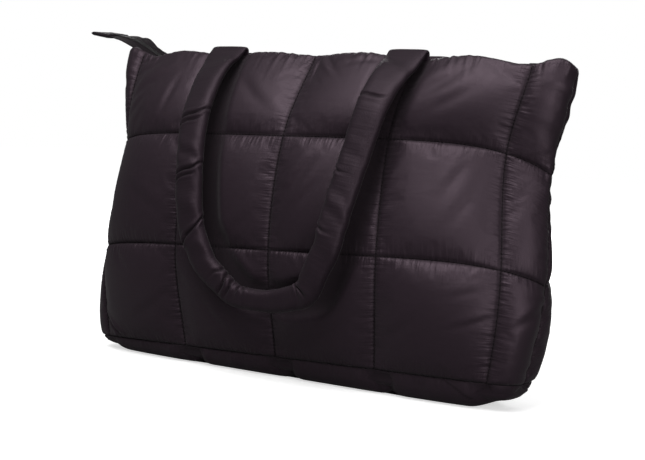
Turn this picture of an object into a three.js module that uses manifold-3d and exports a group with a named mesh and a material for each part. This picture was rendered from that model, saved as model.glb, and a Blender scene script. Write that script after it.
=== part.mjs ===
// A quilted puffer tote bag, standing on its base with its zip closed and both handles hanging.
// Millimetres, +Z up, -Y to the front. The origin is on the floor, under the middle of the base.
import * as THREE from 'three';
import Module from 'manifold-3d';
import { mergeVertices } from 'three/addons/utils/BufferGeometryUtils.js';

const wasm = await Module();
wasm.setup();

// Driving dimensions
const QUILT_COLUMN = 115; // cloth between two upright quilt seams
const PANEL_HALF = 274; // cloth from the middle of a panel to its side seam
const TOP_ROW = 3; // quilt rows from the base seam to the top edge
const PUFF = 10; // how far a full quilt cell stands proud of its seams
const TOP_PUFF = 3; // how proud the padding still is at the top edge
const TOP_FULL = 0.5; // the share of the top row at which its padding starts to thin
const SIDE_FULLNESS = 0.45; // what a narrow cell's padding gains over its share of a full cell
const SIDE_POWER = 3; // how suddenly the level seams drop near the sides
const WALL = 3; // cloth, wadding and lining where they are stitched flat
const GAP = 0.3; // between pieces that are sewn together
const BACK_SAG = 4; // how far the back's top edge hangs below the front's
const BASE_PAD = 5; // thickness of the base's pad in its middle
const BASE_DIMPLE = 4; // how far an upright seam draws the base's rim in
const DIMPLE_CLOSE = 1.4; // how much sooner than a cell the rim is full again beside a seam
const STRAP_CLEAR = 1.1; // air between a handle and the panel that it hangs on
const STRAP_FOLD = 2.7; // radius of a handle's fold over the top edge
const TAPE_THICK = 1;
const COIL_WIDTH = 5;
const COIL_THICK = 2.4;
const TAB = { length: 20, width: 33, wrap: 1.4, slot: 1.8, lap: 6, corner: 1.2 };
const SLIDER = {
  length: 12, width: 8.5, plate: 1.6, post: 3, pull: 26, pullWidth: 6, pullLap: 1, pullSink: 0.2,
};

// Where the zip's pieces stand, as shares of its line from the sewn end to the tail
const SLIDER_AT = 0.0115;
const COIL_FROM = 0.015;
const COIL_TO = 0.952;

// One row for each level quilt seam, from the base seam to the top edge.
// z: height; left and right: from the middle to a side seam; seamY: the side seams' place, front to back;
// front and back: how far the two panels stand off the line between the side seams;
// squareLeft and squareRight: how square the outline is on each hand, 2 being an ellipse;
// dip: how far the seam drops at the sides; tilt: how far it rises towards the right side.
const SECTIONS = [
  {
    z: 21.5, left: 245, right: 245, seamY: 0, front: 43, back: 43,
    squareLeft: 4.3, squareRight: 4.3, dip: 4, tilt: 7,
  },
  {
    z: 126.5, left: 232, right: 259, seamY: 4, front: 66, back: 57,
    squareLeft: 4.8, squareRight: 2.05, dip: 14, tilt: 10,
  },
  {
    z: 235, left: 225, right: 252.5, seamY: 18.5, front: 64, back: 44,
    squareLeft: 4.6, squareRight: 1.42, dip: 17, tilt: 5,
  },
  {
    z: 314.5, left: 249, right: 266, seamY: 31, front: 27, back: 9,
    squareLeft: 7, squareRight: 3, dip: 3, tilt: -1,
  },
];

// How the top edge rises and falls. along: cloth from the middle; lift: above a level edge.
const TOP_EDGE = [
  { along: -274, lift: -2 },
  { along: -252, lift: 9 },
  { along: -230, lift: 2.5 },
  { along: -212, lift: -2 },
  { along: -172, lift: 2.5 },
  { along: -115, lift: 0 },
  { along: -57, lift: 3 },
  { along: 0, lift: 1 },
  { along: 57, lift: 4 },
  { along: 115, lift: -1 },
  { along: 172, lift: 3 },
  { along: 230, lift: -1 },
  { along: 256, lift: 6 },
  { along: 274, lift: -1 },
];

// A handle's two legs, from below their folds to the lowest point of the loop.
// left and right: from the bag's middle; z: height; width and thick: the padded tube's section.
const HANDLE_LINE = [
  { left: 104.5, right: 106.5, z: 306, width: 40, thick: 9 },
  { left: 101.5, right: 105, z: 288, width: 36, thick: 15 },
  { left: 95.5, right: 100, z: 254, width: 33, thick: 19 },
  { left: 88, right: 92.5, z: 212, width: 31, thick: 21 },
  { left: 81.5, right: 86, z: 168, width: 30, thick: 22 },
  { left: 70, right: 72, z: 128, width: 28, thick: 22 },
  { left: 44, right: 44, z: 94, width: 26, thick: 22 },
  { left: 0, right: 0, z: 79, width: 25, thick: 22 },
];
const HANDLE_END = { width: 42, thick: 4 };

// The zip from its sewn end to its free tail. tail: 1 where the tape has left the panels.
const ZIP_LINE = [
  { x: 236, y: 26, z: 306, tail: 0 },
  { x: 110, y: 22.5, z: 308, tail: 0 },
  { x: -60, y: 22, z: 308, tail: 0 },
  { x: -175, y: 24, z: 305, tail: 0 },
  { x: -204, y: 25, z: 308, tail: 0 },
  { x: -226, y: 26, z: 319, tail: 0.1 },
  { x: -250, y: 28, z: 329.5, tail: 1 },
  { x: -271, y: 30, z: 333, tail: 1 },
  { x: -292, y: 31, z: 334.5, tail: 1 },
];
const TAPE_HALF = 15; // half of the whole tape, on the tail
const TAPE_WIDEST = 18; // and where it is sewn to the mouth
const TAPE_CLEAR = 1.7; // from a tape's edge to the sloping lining

// The base, from its seam down and under: a rim, and a pad that lies in it.
// out: outward from the seam; share: of the seam's height.
const RIM_OUTSIDE = [
  { out: 2.5, share: 0.68 },
  { out: 1, share: 0.44 },
  { out: -4, share: 0.2 },
];
const RIM_EDGE = [
  { out: -11, share: 0.08 },
  { out: -11, share: 0.3 },
];
const RIM_INSIDE = [
  { out: -WALL, share: 0.62 },
  { out: -WALL, share: 1 },
];
const PAD_UNDER = [
  { out: -15, share: 0.03 },
  { out: -19, share: 0 },
];
const BASE_FLAT = { x: 0.8, y: 0.5 }; // the share of the seam's outline that lies flat on the floor
const BASE_END = { from: 200, to: 245, lift: 0.5 }; // where the base's ends round up, and how far up the rim

// Mesh density
const CELL_STEPS = 6; // along a full quilt cell, either way
const SIDE_CELL_STEPS = 4; // across the narrow cell next to a side seam
const OUTLINE_STEPS = 30; // along half of an outline
const HANDLE_SIDES = 10;
const HANDLE_STEPS = 22; // along half of a hanging loop
const FOLD_STEPS = 5;
const ZIP_STEPS = 30;
const TAB_STEPS = 4; // around the tab's folded end
const SLOPE_STEP = 0.02; // for slopes of the cloth, as a share of a quilt cell
const HALVINGS = 30; // to find a place by trial
const WELD = 1e-4; // points closer than this are one

// A smooth reading of any column of a table, by one of its columns or by its row number.
function smoothTable(rows, key) {
  const names = Object.keys(rows[0]).filter((name) => name !== key);
  const places = rows.map((row, k) => (key ? row[key] : k));
  const values = rows.flatMap((row) => names.map((name) => row[name]));
  const curve = new THREE.CubicInterpolant(places, values, names.length);
  return (place) => {
    const found = curve.evaluate(place);
    return Object.fromEntries(names.map((name, k) => [name, found[k]]));
  };
}

const sectionAt = smoothTable(SECTIONS);
const topEdgeAt = smoothTable(TOP_EDGE, 'along');
const FRONT = -1;
const BACK = 1;
const LEFT = -1;
const RIGHT = 1;
const handOf = (x) => (x < 0 ? LEFT : RIGHT);

// One quarter of a section: its half width, depth and squareness
function quarter(row, side, hand) {
  const { left, right, front, back, squareLeft, squareRight, seamY } = sectionAt(row);
  return {
    seamY,
    halfWidth: hand === LEFT ? left : right,
    depth: side === FRONT ? front : back,
    square: hand === LEFT ? squareLeft : squareRight,
  };
}

// Half of the bag's outline at one height, from the middle to a side seam, in front or behind
const outlines = new Map();
function outline(row, side, hand) {
  const name = `${row} ${side} ${hand}`;
  if (!outlines.has(name)) {
    const { seamY, halfWidth, depth, square } = quarter(row, side, hand);
    const points = [];
    for (let k = 0; k <= OUTLINE_STEPS; k++) {
      const angle = (Math.PI / 2) * (k / OUTLINE_STEPS);
      const across = Math.sin(angle) ** (2 / square);
      const forward = Math.max(0, Math.cos(angle)) ** (2 / square);
      points.push(new THREE.Vector2(hand * halfWidth * across, seamY + side * depth * forward));
    }
    outlines.set(name, new THREE.SplineCurve(points));
  }
  return outlines.get(name);
}

// The stitched cloth, before it is padded: along is cloth from the middle, row counts up from the base seam.
function cloth(along, row, side) {
  const flat = outline(row, side, handOf(along)).getPointAt(Math.abs(along) / PANEL_HALF);
  return new THREE.Vector3(flat.x, flat.y, clothHeight(along, row, side));
}

function clothHeight(along, row, side) {
  const { z, dip, tilt } = sectionAt(row);
  const share = along / PANEL_HALF;
  const drop = Math.abs(share) ** SIDE_POWER;
  const sag = side === BACK ? BACK_SAG * (1 - drop) : 0;
  const lift = (topEdgeAt(along).lift - sag) * Math.max(0, row - TOP_ROW + 1) ** 2;
  return z - dip * drop + tilt * share + lift;
}

// The cloth's outward direction
function clothNormal(along, row, side) {
  const reach = SLOPE_STEP * QUILT_COLUMN;
  const limit = THREE.MathUtils.clamp;
  const left = cloth(limit(along - reach, -PANEL_HALF, PANEL_HALF), row, side);
  const right = cloth(limit(along + reach, -PANEL_HALF, PANEL_HALF), row, side);
  const low = cloth(along, limit(row - SLOPE_STEP, 0, TOP_ROW), side);
  const high = cloth(along, limit(row + SLOPE_STEP, 0, TOP_ROW), side);
  return right.sub(left).cross(high.sub(low)).multiplyScalar(-side).normalize();
}

// The end of the part of a range in which a test holds
function lastTrue(from, to, test) {
  let [low, high] = [from, to];
  for (let k = 0; k < HALVINGS; k++) {
    const middle = (low + high) / 2;
    if (test(middle)) low = middle;
    else high = middle;
  }
  return low;
}

// The cloth between the middle and a place on the top edge
function alongAt(x, side) {
  const edge = outline(TOP_ROW, side, handOf(x));
  return handOf(x) * PANEL_HALF * lastTrue(0, 1, (share) => Math.abs(edge.getPointAt(share).x) < Math.abs(x));
}

// Where a place on a panel lies, in quilt rows
function rowAt(x, z, side) {
  const along = alongAt(x, side);
  return lastTrue(0, TOP_ROW, (row) => clothHeight(along, row, side) < z);
}

// The stitched cloth's y at a place on a panel
function faceY(x, z, side) {
  const { seamY, halfWidth, depth, square } = quarter(rowAt(x, z, side), side, handOf(x));
  const bow = Math.max(0, 1 - Math.abs(x / halfWidth) ** square) ** (1 / square);
  return seamY + side * depth * bow;
}

// Quilting. A cell is full in its middle and flat at its seams.
const QUILT_SEAMS = [-2, -1, 0, 1, 2].map((column) => column * QUILT_COLUMN);
const UPRIGHT_SEAMS = [-PANEL_HALF, ...QUILT_SEAMS, PANEL_HALF];
const LEVEL_SEAMS = SECTIONS.map((section, row) => row);
const swellOver = (share) => Math.sqrt(Math.max(0, 4 * share * (1 - share)));

function swellAcross(along) {
  const right = UPRIGHT_SEAMS.findIndex((seam) => seam >= along - WELD && seam > -PANEL_HALF);
  const [from, to] = [UPRIGHT_SEAMS[right - 1], UPRIGHT_SEAMS[right]];
  const fullness = Math.min(1, (to - from) / QUILT_COLUMN + SIDE_FULLNESS);
  return fullness * swellOver((along - from) / (to - from));
}

function swellUp(row) {
  if (row < TOP_ROW - 1) return swellOver(row - Math.floor(row));
  const share = row - (TOP_ROW - 1); // the top row stays padded up to its edge
  if (share < TOP_FULL) return swellOver(share);
  return 1 - (1 - TOP_PUFF / PUFF) * ((share - TOP_FULL) / (1 - TOP_FULL)) ** SIDE_POWER;
}

const swell = (along, row) => PUFF * swellAcross(along) * swellUp(row);

// Places along a run of cells, closer together near the seams
function cellPlaces(seams, stepsFor) {
  const places = [seams[0]];
  for (let k = 1; k < seams.length; k++) {
    const steps = stepsFor(seams[k] - seams[k - 1]);
    for (let n = 1; n <= steps; n++) {
      const share = (1 - Math.cos((Math.PI * n) / steps)) / 2;
      places.push(THREE.MathUtils.lerp(seams[k - 1], seams[k], share));
    }
  }
  return places;
}

const ALONG = cellPlaces(UPRIGHT_SEAMS, (cell) => (cell < QUILT_COLUMN ? SIDE_CELL_STEPS : CELL_STEPS));
const UP = cellPlaces(LEVEL_SEAMS, () => CELL_STEPS);

function meshFrom(name, points, faces, material) {
  const geometry = new THREE.BufferGeometry();
  geometry.setAttribute('position', new THREE.Float32BufferAttribute(points.flatMap((p) => p.toArray()), 3));
  geometry.setIndex(faces.flat());
  geometry.computeVertexNormals();
  const mesh = new THREE.Mesh(geometry, material);
  mesh.name = name;
  return mesh;
}

const quad = (a, b, c, d) => [
  [a, b, c],
  [a, c, d],
];
const turned = (faces) => faces.map(([a, b, c]) => [a, c, b]);

// A closed wall between two sheets of points, given as rows of equal length
function wall(name, outside, inside, side, material) {
  const rows = outside.length;
  const columns = outside[0].length;
  const points = [...outside.flat(), ...inside.flat()];
  const out = (i, j) => i * columns + j;
  const into = (i, j) => rows * columns + i * columns + j;
  const faces = [];
  for (let i = 0; i + 1 < rows; i++) {
    for (let j = 0; j + 1 < columns; j++) {
      faces.push(...quad(out(i, j), out(i, j + 1), out(i + 1, j + 1), out(i + 1, j)));
      faces.push(...quad(into(i, j), into(i + 1, j), into(i + 1, j + 1), into(i, j + 1)));
    }
    faces.push(...quad(out(i, 0), out(i + 1, 0), into(i + 1, 0), into(i, 0)));
    const end = columns - 1;
    faces.push(...quad(out(i, end), into(i, end), into(i + 1, end), out(i + 1, end)));
  }
  for (let j = 0; j + 1 < columns; j++) {
    const end = rows - 1;
    faces.push(...quad(out(0, j), into(0, j), into(0, j + 1), out(0, j + 1)));
    faces.push(...quad(out(end, j), out(end, j + 1), into(end, j + 1), into(end, j)));
  }
  return meshFrom(name, points, side === FRONT ? faces : turned(faces), material);
}

// A solid swept along stations, each with its ring of points
function sweep(name, rings, material) {
  const sides = rings[0].length;
  const points = rings.flat();
  const faces = [];
  for (let i = 0; i + 1 < rings.length; i++) {
    for (let j = 0; j < sides; j++) {
      const next = (j + 1) % sides;
      faces.push(...quad(i * sides + j, i * sides + next, (i + 1) * sides + next, (i + 1) * sides + j));
    }
  }
  const last = (rings.length - 1) * sides;
  for (let j = 1; j + 1 < sides; j++) {
    faces.push([0, j + 1, j], [last, last + j, last + j + 1]);
  }
  return meshFrom(name, points, faces, material);
}

// Front and back panels

function panel(name, side, material) {
  const offset = (along, row, distance) => {
    const point = cloth(along, row, side).addScaledVector(clothNormal(along, row, side), distance);
    const limit = sectionAt(rowAt(point.x, point.z, side)).seamY + (side * GAP) / 2;
    point.y = side === FRONT ? Math.min(point.y, limit) : Math.max(point.y, limit);
    point.z = Math.max(point.z, clothHeight(along, 0, side));
    return point;
  };
  const outside = UP.map((row) => ALONG.map((along) => offset(along, row, swell(along, row))));
  const inside = UP.map((row) => ALONG.map((along) => offset(along, row, -WALL)));
  return wall(name, outside, inside, side, material);
}

// Base: a padded rim that meets the panels at the base seam, and a pad that lies in it

const BASE_LOOP = [
  ...ALONG.slice(0, -1).map((along) => ({ along, side: FRONT })),
  ...[...ALONG].reverse().slice(0, -1).map((along) => ({ along, side: BACK })),
];
const BASE_SEAM = BASE_LOOP.map(({ along, side }) => cloth(along, 0, side));
const BASE_COUNT = BASE_LOOP.length;

// The level outward direction at each place on the base seam
const BASE_ACROSS = BASE_SEAM.map((point, k) => {
  const run = BASE_SEAM[(k + 1) % BASE_COUNT].clone().sub(BASE_SEAM[(k + BASE_COUNT - 1) % BASE_COUNT]);
  return new THREE.Vector3(run.y, -run.x, 0).normalize();
});

// A ring at a distance outward from the base seam, and at a share of the seam's height
function baseRing({ out, share }, dimple = 0) {
  return BASE_SEAM.map((point, k) => {
    const drawnIn = dimple * (1 - Math.min(1, swellAcross(BASE_LOOP[k].along) * DIMPLE_CLOSE));
    const place = point.clone().addScaledVector(BASE_ACROSS[k], out - drawnIn);
    const top = point.z - GAP;
    const rise = BASE_END.lift * THREE.MathUtils.smoothstep(Math.abs(place.x), BASE_END.from, BASE_END.to);
    place.z = top * THREE.MathUtils.lerp(rise, 1, share);
    return place;
  });
}

// The faces of a run of bands, each between two neighbouring rings
function bandFaces(bands) {
  const at = (ring, k) => ring * BASE_COUNT + (k % BASE_COUNT);
  const faces = [];
  for (let ring = 0; ring < bands; ring++) {
    for (let k = 0; k < BASE_COUNT; k++) {
      faces.push(...quad(at(ring, k), at(ring + 1, k), at(ring + 1, k + 1), at(ring, k + 1)));
    }
  }
  return faces;
}

function baseRim(name, material) {
  const rings = [
    baseRing({ out: 0, share: 1 }),
    ...RIM_OUTSIDE.map((row) => baseRing(row, BASE_DIMPLE)),
    ...[...RIM_EDGE, ...RIM_INSIDE].map((row) => baseRing(row)),
  ];
  const count = rings.length * BASE_COUNT;
  const faces = bandFaces(rings.length).map((face) => face.map((point) => point % count));
  return meshFrom(name, rings.flat(), faces, material);
}

function basePad(name, material) {
  const edge = RIM_EDGE.map(({ out, share }) => baseRing({ out: out - GAP, share }));
  const rings = [
    ...edge.reverse(),
    ...PAD_UNDER.map((row) => baseRing(row)),
    BASE_SEAM.map(({ x, y }) => new THREE.Vector3(x * BASE_FLAT.x, y * BASE_FLAT.y, 0)),
  ];
  const last = (rings.length - 1) * BASE_COUNT;
  const [top, under] = [rings.length * BASE_COUNT, rings.length * BASE_COUNT + 1];
  const faces = bandFaces(rings.length - 1);
  for (let k = 0; k < BASE_COUNT; k++) {
    const next = (k + 1) % BASE_COUNT;
    faces.push([k, next, top], [last + k, under, last + next]);
  }
  const middle = [new THREE.Vector3(0, 0, BASE_PAD), new THREE.Vector3()];
  return meshFrom(name, [...rings.flat(), ...middle], faces, material);
}

// Handles: padded tubes, sewn into the top edge, folded over it and hanging down a panel

// The highest point of a panel's top edge under a handle's end
function edgeHeight(along, reach, side) {
  const places = [-1, -0.5, 0, 0.5, 1].map((share) => along + share * reach);
  const heights = places.map(
    (place) => cloth(place, TOP_ROW, side).z + clothNormal(place, TOP_ROW, side).z * swell(place, TOP_ROW)
  );
  return Math.max(...heights);
}

// A handle's sewn end and its fold over the top edge
function handleFold(side, hand) {
  const x = hand * HANDLE_LINE[0][hand === LEFT ? 'left' : 'right'];
  const across = new THREE.Vector3(hand, 0, 0);
  const edgeY = cloth(x, TOP_ROW, side).y;
  const edgeZ = edgeHeight(x, HANDLE_END.width / 2, side) + GAP;
  const stations = [{ point: new THREE.Vector3(x, edgeY, edgeZ), across, ...HANDLE_END }];
  for (let k = 1; k <= FOLD_STEPS; k++) {
    const angle = (Math.PI * k) / (FOLD_STEPS + 1);
    const y = edgeY + side * STRAP_FOLD * (1 - Math.cos(angle));
    const z = edgeZ + STRAP_CLEAR + STRAP_FOLD * Math.sin(angle);
    stations.push({ point: new THREE.Vector3(x, y, z), across, ...HANDLE_END });
  }
  return { stations, outerY: edgeY + side * 2 * STRAP_FOLD };
}

function handleStations(side) {
  const folds = { [LEFT]: handleFold(side, LEFT), [RIGHT]: handleFold(side, RIGHT) };
  const leftLeg = HANDLE_LINE.map(({ left, z }) => new THREE.Vector3(-left, 0, z));
  const rightLeg = HANDLE_LINE.slice(0, -1).map(({ right, z }) => new THREE.Vector3(right, 0, z));
  const line = new THREE.CatmullRomCurve3([...leftLeg, ...rightLeg.reverse()]);
  const sizeAt = smoothTable(HANDLE_LINE);
  const hanging = [];
  for (let k = 0; k <= 2 * HANDLE_STEPS; k++) {
    const share = k / (2 * HANDLE_STEPS);
    const place = line.getPoint(share);
    const run = line.getTangent(share);
    const { width, thick } = sizeAt((1 - Math.abs(2 * share - 1)) * (HANDLE_LINE.length - 1));
    const row = rowAt(place.x, place.z, side);
    const puff = row > TOP_ROW - TOP_FULL ? PUFF * swellUp(row) : PUFF;
    place.y = faceY(place.x, place.z, side) + side * (puff + STRAP_CLEAR + thick / 2);
    place.y = side * Math.max(side * place.y, side * folds[handOf(place.x)].outerY);
    hanging.push({ point: place, across: new THREE.Vector3(run.z, 0, -run.x), width, thick });
  }
  return [...folds[LEFT].stations, ...hanging, ...folds[RIGHT].stations.reverse()];
}

function handle(name, side, material) {
  const stations = handleStations(side);
  const rings = stations.map(({ point, across, width, thick }, k) => {
    const before = stations[Math.max(0, k - 1)].point;
    const after = stations[Math.min(stations.length - 1, k + 1)].point;
    const run = k === 0 ? new THREE.Vector3(0, 0, 1) : after.clone().sub(before).normalize();
    if (k === stations.length - 1) run.set(0, 0, -1);
    const through = across.clone().cross(run).normalize();
    return Array.from({ length: HANDLE_SIDES }, (_, n) => {
      const angle = (2 * Math.PI * n) / HANDLE_SIDES;
      return point
        .clone()
        .addScaledVector(across, (width / 2) * Math.cos(angle))
        .addScaledVector(through, (-thick / 2) * Math.sin(angle));
    });
  });
  return sweep(name, rings, material);
}

// Zip: two tapes and a coil that close the mouth, with a tail that leaves the bag at its left corner

const zipLine = new THREE.CatmullRomCurve3(ZIP_LINE.map(({ x, y, z }) => new THREE.Vector3(x, y, z)));
const zipTableAt = smoothTable(ZIP_LINE);

function zipStation(share) {
  const point = zipLine.getPoint(share);
  const run = zipLine.getTangent(share);
  const tail = THREE.MathUtils.clamp(zipTableAt(share * (ZIP_LINE.length - 1)).tail, 0, 1);
  const reach = (side) => {
    const mouth = side * (faceY(point.x, point.z, side) - point.y) - WALL - TAPE_CLEAR;
    return THREE.MathUtils.lerp(Math.min(mouth, TAPE_WIDEST), TAPE_HALF, tail);
  };
  const up = new THREE.Vector3(run.z, 0, -run.x).normalize();
  return { point, up, front: reach(FRONT), back: reach(BACK) };
}

const zipStations = (from, to) =>
  Array.from({ length: ZIP_STEPS + 1 }, (_, k) => zipStation(THREE.MathUtils.lerp(from, to, k / ZIP_STEPS)));

// A ribbon between two distances from the zip's middle, to the front or the back
function zipRibbon(name, stations, reach, thick, material) {
  const rings = stations.map((station) => {
    const [from, to] = reach(station);
    const corner = (y, z) =>
      station.point.clone().add(new THREE.Vector3(0, y, 0)).addScaledVector(station.up, z * thick);
    return [corner(from, -0.5), corner(from, 0.5), corner(to, 0.5), corner(to, -0.5)];
  });
  return sweep(name, rings, material);
}

// A folded strip of cloth that wraps the end of the tail
function zipTab(name, stations, material) {
  const { length, width, wrap, slot, lap, corner } = TAB;
  const shape = new THREE.Shape();
  const high = slot / 2 + wrap;
  shape.moveTo(lap, -slot / 2);
  shape.lineTo(lap, -high);
  shape.lineTo(-length + corner, -high);
  shape.quadraticCurveTo(-length, -high, -length, 0);
  shape.quadraticCurveTo(-length, high, -length + corner, high);
  shape.lineTo(lap, high);
  shape.lineTo(lap, slot / 2);
  shape.lineTo(-GAP, slot / 2);
  shape.lineTo(-GAP, -slot / 2);
  const options = { depth: width, bevelEnabled: false, curveSegments: TAB_STEPS };
  const geometry = new THREE.ExtrudeGeometry(shape, options).translate(0, 0, -width / 2).rotateX(Math.PI / 2);
  const mesh = new THREE.Mesh(closed(geometry), material);
  mesh.name = name;
  const end = stations[stations.length - 1];
  mesh.position.copy(end.point);
  mesh.rotation.y = Math.atan2(end.up.x, end.up.z);
  return mesh;
}

// The slider, at the sewn end of the closed zip: two plates, the post between them and a pull
function zipSlider(name, material) {
  const { length, width, plate, post, pull, pullWidth, pullLap, pullSink } = SLIDER;
  const lift = COIL_THICK / 2 + 2 * GAP;
  const pieces = [
    box(length, width, plate, 0, lift + plate / 2),
    box(length, width, plate, 0, -lift - plate / 2),
    box(post, post, 2 * lift + plate, length / 2 - post / 2, 0),
    box(pull, pullWidth, plate, pullLap - pull / 2, lift + 1.5 * plate - pullSink),
  ];
  const solid = pieces.map(manifold).reduce((whole, piece) => whole.add(piece));
  const mesh = new THREE.Mesh(fromManifold(solid), material);
  mesh.name = name;
  mesh.position.copy(zipStation(SLIDER_AT).point);
  return mesh;
}

const box = (length, width, height, x, z) =>
  new THREE.BoxGeometry(length, width, height).translate(x, 0, z);

function closed(geometry) {
  geometry.deleteAttribute('normal');
  geometry.deleteAttribute('uv');
  const welded = mergeVertices(geometry, WELD);
  welded.computeVertexNormals();
  return welded;
}

function manifold(geometry) {
  const welded = closed(geometry);
  return new wasm.Manifold(
    new wasm.Mesh({
      numProp: 3,
      vertProperties: new Float32Array(welded.attributes.position.array),
      triVerts: new Uint32Array(welded.index.array),
    })
  );
}

function fromManifold(solid) {
  const mesh = solid.getMesh();
  const geometry = new THREE.BufferGeometry();
  geometry.setAttribute('position', new THREE.Float32BufferAttribute(mesh.vertProperties, 3));
  geometry.setIndex(Array.from(mesh.triVerts));
  geometry.computeVertexNormals();
  return geometry;
}

// Materials
const nylon = new THREE.MeshStandardMaterial({ color: '#2b2529', roughness: 0.45, metalness: 0 });
const strapNylon = new THREE.MeshStandardMaterial({ color: '#2f282d', roughness: 0.48, metalness: 0 });
const tape = new THREE.MeshStandardMaterial({ color: '#121211', roughness: 0.8, metalness: 0 });
const coilPlastic = new THREE.MeshStandardMaterial({ color: '#0d0d0d', roughness: 0.4, metalness: 0 });
const tabCloth = new THREE.MeshStandardMaterial({ color: '#141215', roughness: 0.55, metalness: 0 });
const darkMetal = new THREE.MeshStandardMaterial({ color: '#1b1b1d', roughness: 0.35, metalness: 1 });

// Assembly
const bag = new THREE.Group();
bag.add(panel('front_panel', FRONT, nylon), panel('back_panel', BACK, nylon));
bag.add(baseRim('base_rim', nylon), basePad('base_pad', nylon));
bag.add(handle('front_handle', FRONT, strapNylon), handle('back_handle', BACK, strapNylon));

const tapeLine = zipStations(0, 1);
const coilLine = zipStations(COIL_FROM, COIL_TO);
const coilEdge = COIL_WIDTH / 2 + GAP;
bag.add(
  zipRibbon('zip_tape_front', tapeLine, ({ front }) => [-front, -coilEdge], TAPE_THICK, tape),
  zipRibbon('zip_tape_back', tapeLine, ({ back }) => [coilEdge, back], TAPE_THICK, tape),
  zipRibbon('zip_coil', coilLine, () => [-COIL_WIDTH / 2, COIL_WIDTH / 2], COIL_THICK, coilPlastic),
  zipTab('zip_tab', tapeLine, tabCloth),
  zipSlider('zip_slider', darkMetal)
);

export default bag;
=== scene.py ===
"""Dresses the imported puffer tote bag: quilted panels, base, handles, zip, stitching and a pale studio."""

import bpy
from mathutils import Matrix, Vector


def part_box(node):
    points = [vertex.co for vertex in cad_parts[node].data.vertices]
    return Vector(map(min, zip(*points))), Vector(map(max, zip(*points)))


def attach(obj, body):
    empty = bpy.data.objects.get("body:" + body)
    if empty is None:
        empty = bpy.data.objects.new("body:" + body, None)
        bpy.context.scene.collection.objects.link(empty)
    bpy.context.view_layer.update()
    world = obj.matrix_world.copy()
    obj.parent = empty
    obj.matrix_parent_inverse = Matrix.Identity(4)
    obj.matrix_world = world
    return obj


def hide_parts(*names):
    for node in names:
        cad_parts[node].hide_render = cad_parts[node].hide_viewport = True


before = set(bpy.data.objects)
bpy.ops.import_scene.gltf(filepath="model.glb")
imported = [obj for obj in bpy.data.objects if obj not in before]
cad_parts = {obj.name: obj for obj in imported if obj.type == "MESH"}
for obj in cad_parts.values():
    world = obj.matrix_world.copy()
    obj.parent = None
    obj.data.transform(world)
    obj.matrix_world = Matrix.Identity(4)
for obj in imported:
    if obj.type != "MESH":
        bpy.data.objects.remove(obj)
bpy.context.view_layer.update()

import math

import bmesh
import bpy
import numpy as np
from bpy.props import FloatProperty, FloatVectorProperty, IntProperty, PointerProperty
from mathutils import Matrix, Vector

bl_info = {
    "name": "Puffer tote bag",
    "version": (1, 0, 0),
    "blender": (4, 5, 0),
    "location": "View3D > Sidebar > Tote",
    "description": "Builds a quilted puffer tote bag around its packed solids",
    "category": "Object",
}

MM = 0.001
FRONT, BACK = -1, 1
LEFT, RIGHT = -1, 1

# The sewn bag in millimetres, as its solids have it, but for the handles' narrower loop and its bends
PANEL_HALF = 274
QUILT_COLUMN = 115
TOP_ROW = 3
UPRIGHT_SEAMS = (-274, -230, -115, 0, 115, 230, 274)
WALL = 3
GAP = 0.3
TOP_PUFF = 3
TOP_FULL = 0.5
SIDE_FULLNESS = 0.45
BACK_SAG = 4
SIDE_POWER = 6
STRAP_CLEAR = 1.1
STRAP_FOLD = 2.7
ROW_HEIGHT = 100

# One column for each level quilt seam, from the base seam to the top edge
SECTIONS = {
    "z": (21.5, 126.5, 235, 314.5),
    "left": (245, 232, 225, 249),
    "right": (245, 259, 252.5, 266),
    "seam_y": (0, 4, 18.5, 31),
    "front": (43, 66, 64, 27),
    "back": (43, 57, 44, 9),
    "square_left": (4.3, 4.8, 4.6, 7),
    "square_right": (4.3, 2.05, 1.42, 3),
    "dip": (5, 24, 29, 5),
    "tilt": (7, 10, 5, -1),
}
TOP_EDGE = {
    "along": (-274, -252, -230, -212, -172, -115, -57, 0, 57, 115, 172, 230, 256, 274),
    "lift": (-2, 9, 2.5, -2, 2.5, 0, 3, 1, 4, -1, 3, -1, 6, -1),
}
HANDLE_LINE = {
    "left": (104.5, 101.5, 95.5, 88, 81.5, 70, 44, 0),
    "right": (106.5, 105, 100, 92.5, 86, 72, 44, 0),
    "z": (306, 288, 254, 212, 168, 128, 94, 79),
    "width": (40, 36, 33, 31, 30, 28, 24.5, 20.5),
    "thick": (9, 15, 19, 21, 22, 22, 22, 22),
}
HANDLE_END = {"width": 42, "thick": 4}

# Where the front handle bends at its gathers as it hangs, and how many times the bends are rounded
FRONT_BENDS = {"x": (-75.5, -57, -22, 21, 61.5, 82.5), "z": (145, 109, 80.5, 80, 90.5, 136)}
BEND_ROUNDING = 30

ZIP_LINE = {
    "x": (236, 110, -60, -175, -204, -226, -250, -271, -292),
    "y": (26, 22.5, 22, 24, 25, 26, 28, 30, 31),
    "z": (306, 308, 308, 305, 306, 315, 326, 331.5, 334),
    "tail": (0, 0, 0, 0, 0, 0.1, 1, 1, 1),
    "roll": (0, 0, 0, 2, 12, 19, 18, 10, 3),
}
TAPE_HALF = 15
TAPE_WIDEST = 18
TAPE_CLEAR = 1.7
COIL_FROM, COIL_TO = 0.015, 0.952
SLIDER_AT = 0.0115

# The base's section from its seam down, and how its ends round up
BASE_PROFILE = {
    "out": (0, -0.2, -1.0, -3, -7, -12.5, -19),
    "share": (1, 0.86, 0.68, 0.44, 0.2, 0.06, 0),
}
BASE_END = {"from": 200, "to": 245, "lift": 0.5}
BASE_FLAT = (0.8, 0.5)

# Sheet density: grid steps across a full column, a side column and a row
COLUMN_STEPS, SIDE_STEPS, ROW_STEPS = 34, 13, 31

# Points of half an outline, how much closer they lie near its side seam, and halvings in a search for a row
OUTLINE_POINTS, OUTLINE_EASE, HALVINGS = 241, 1.6, 30

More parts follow.
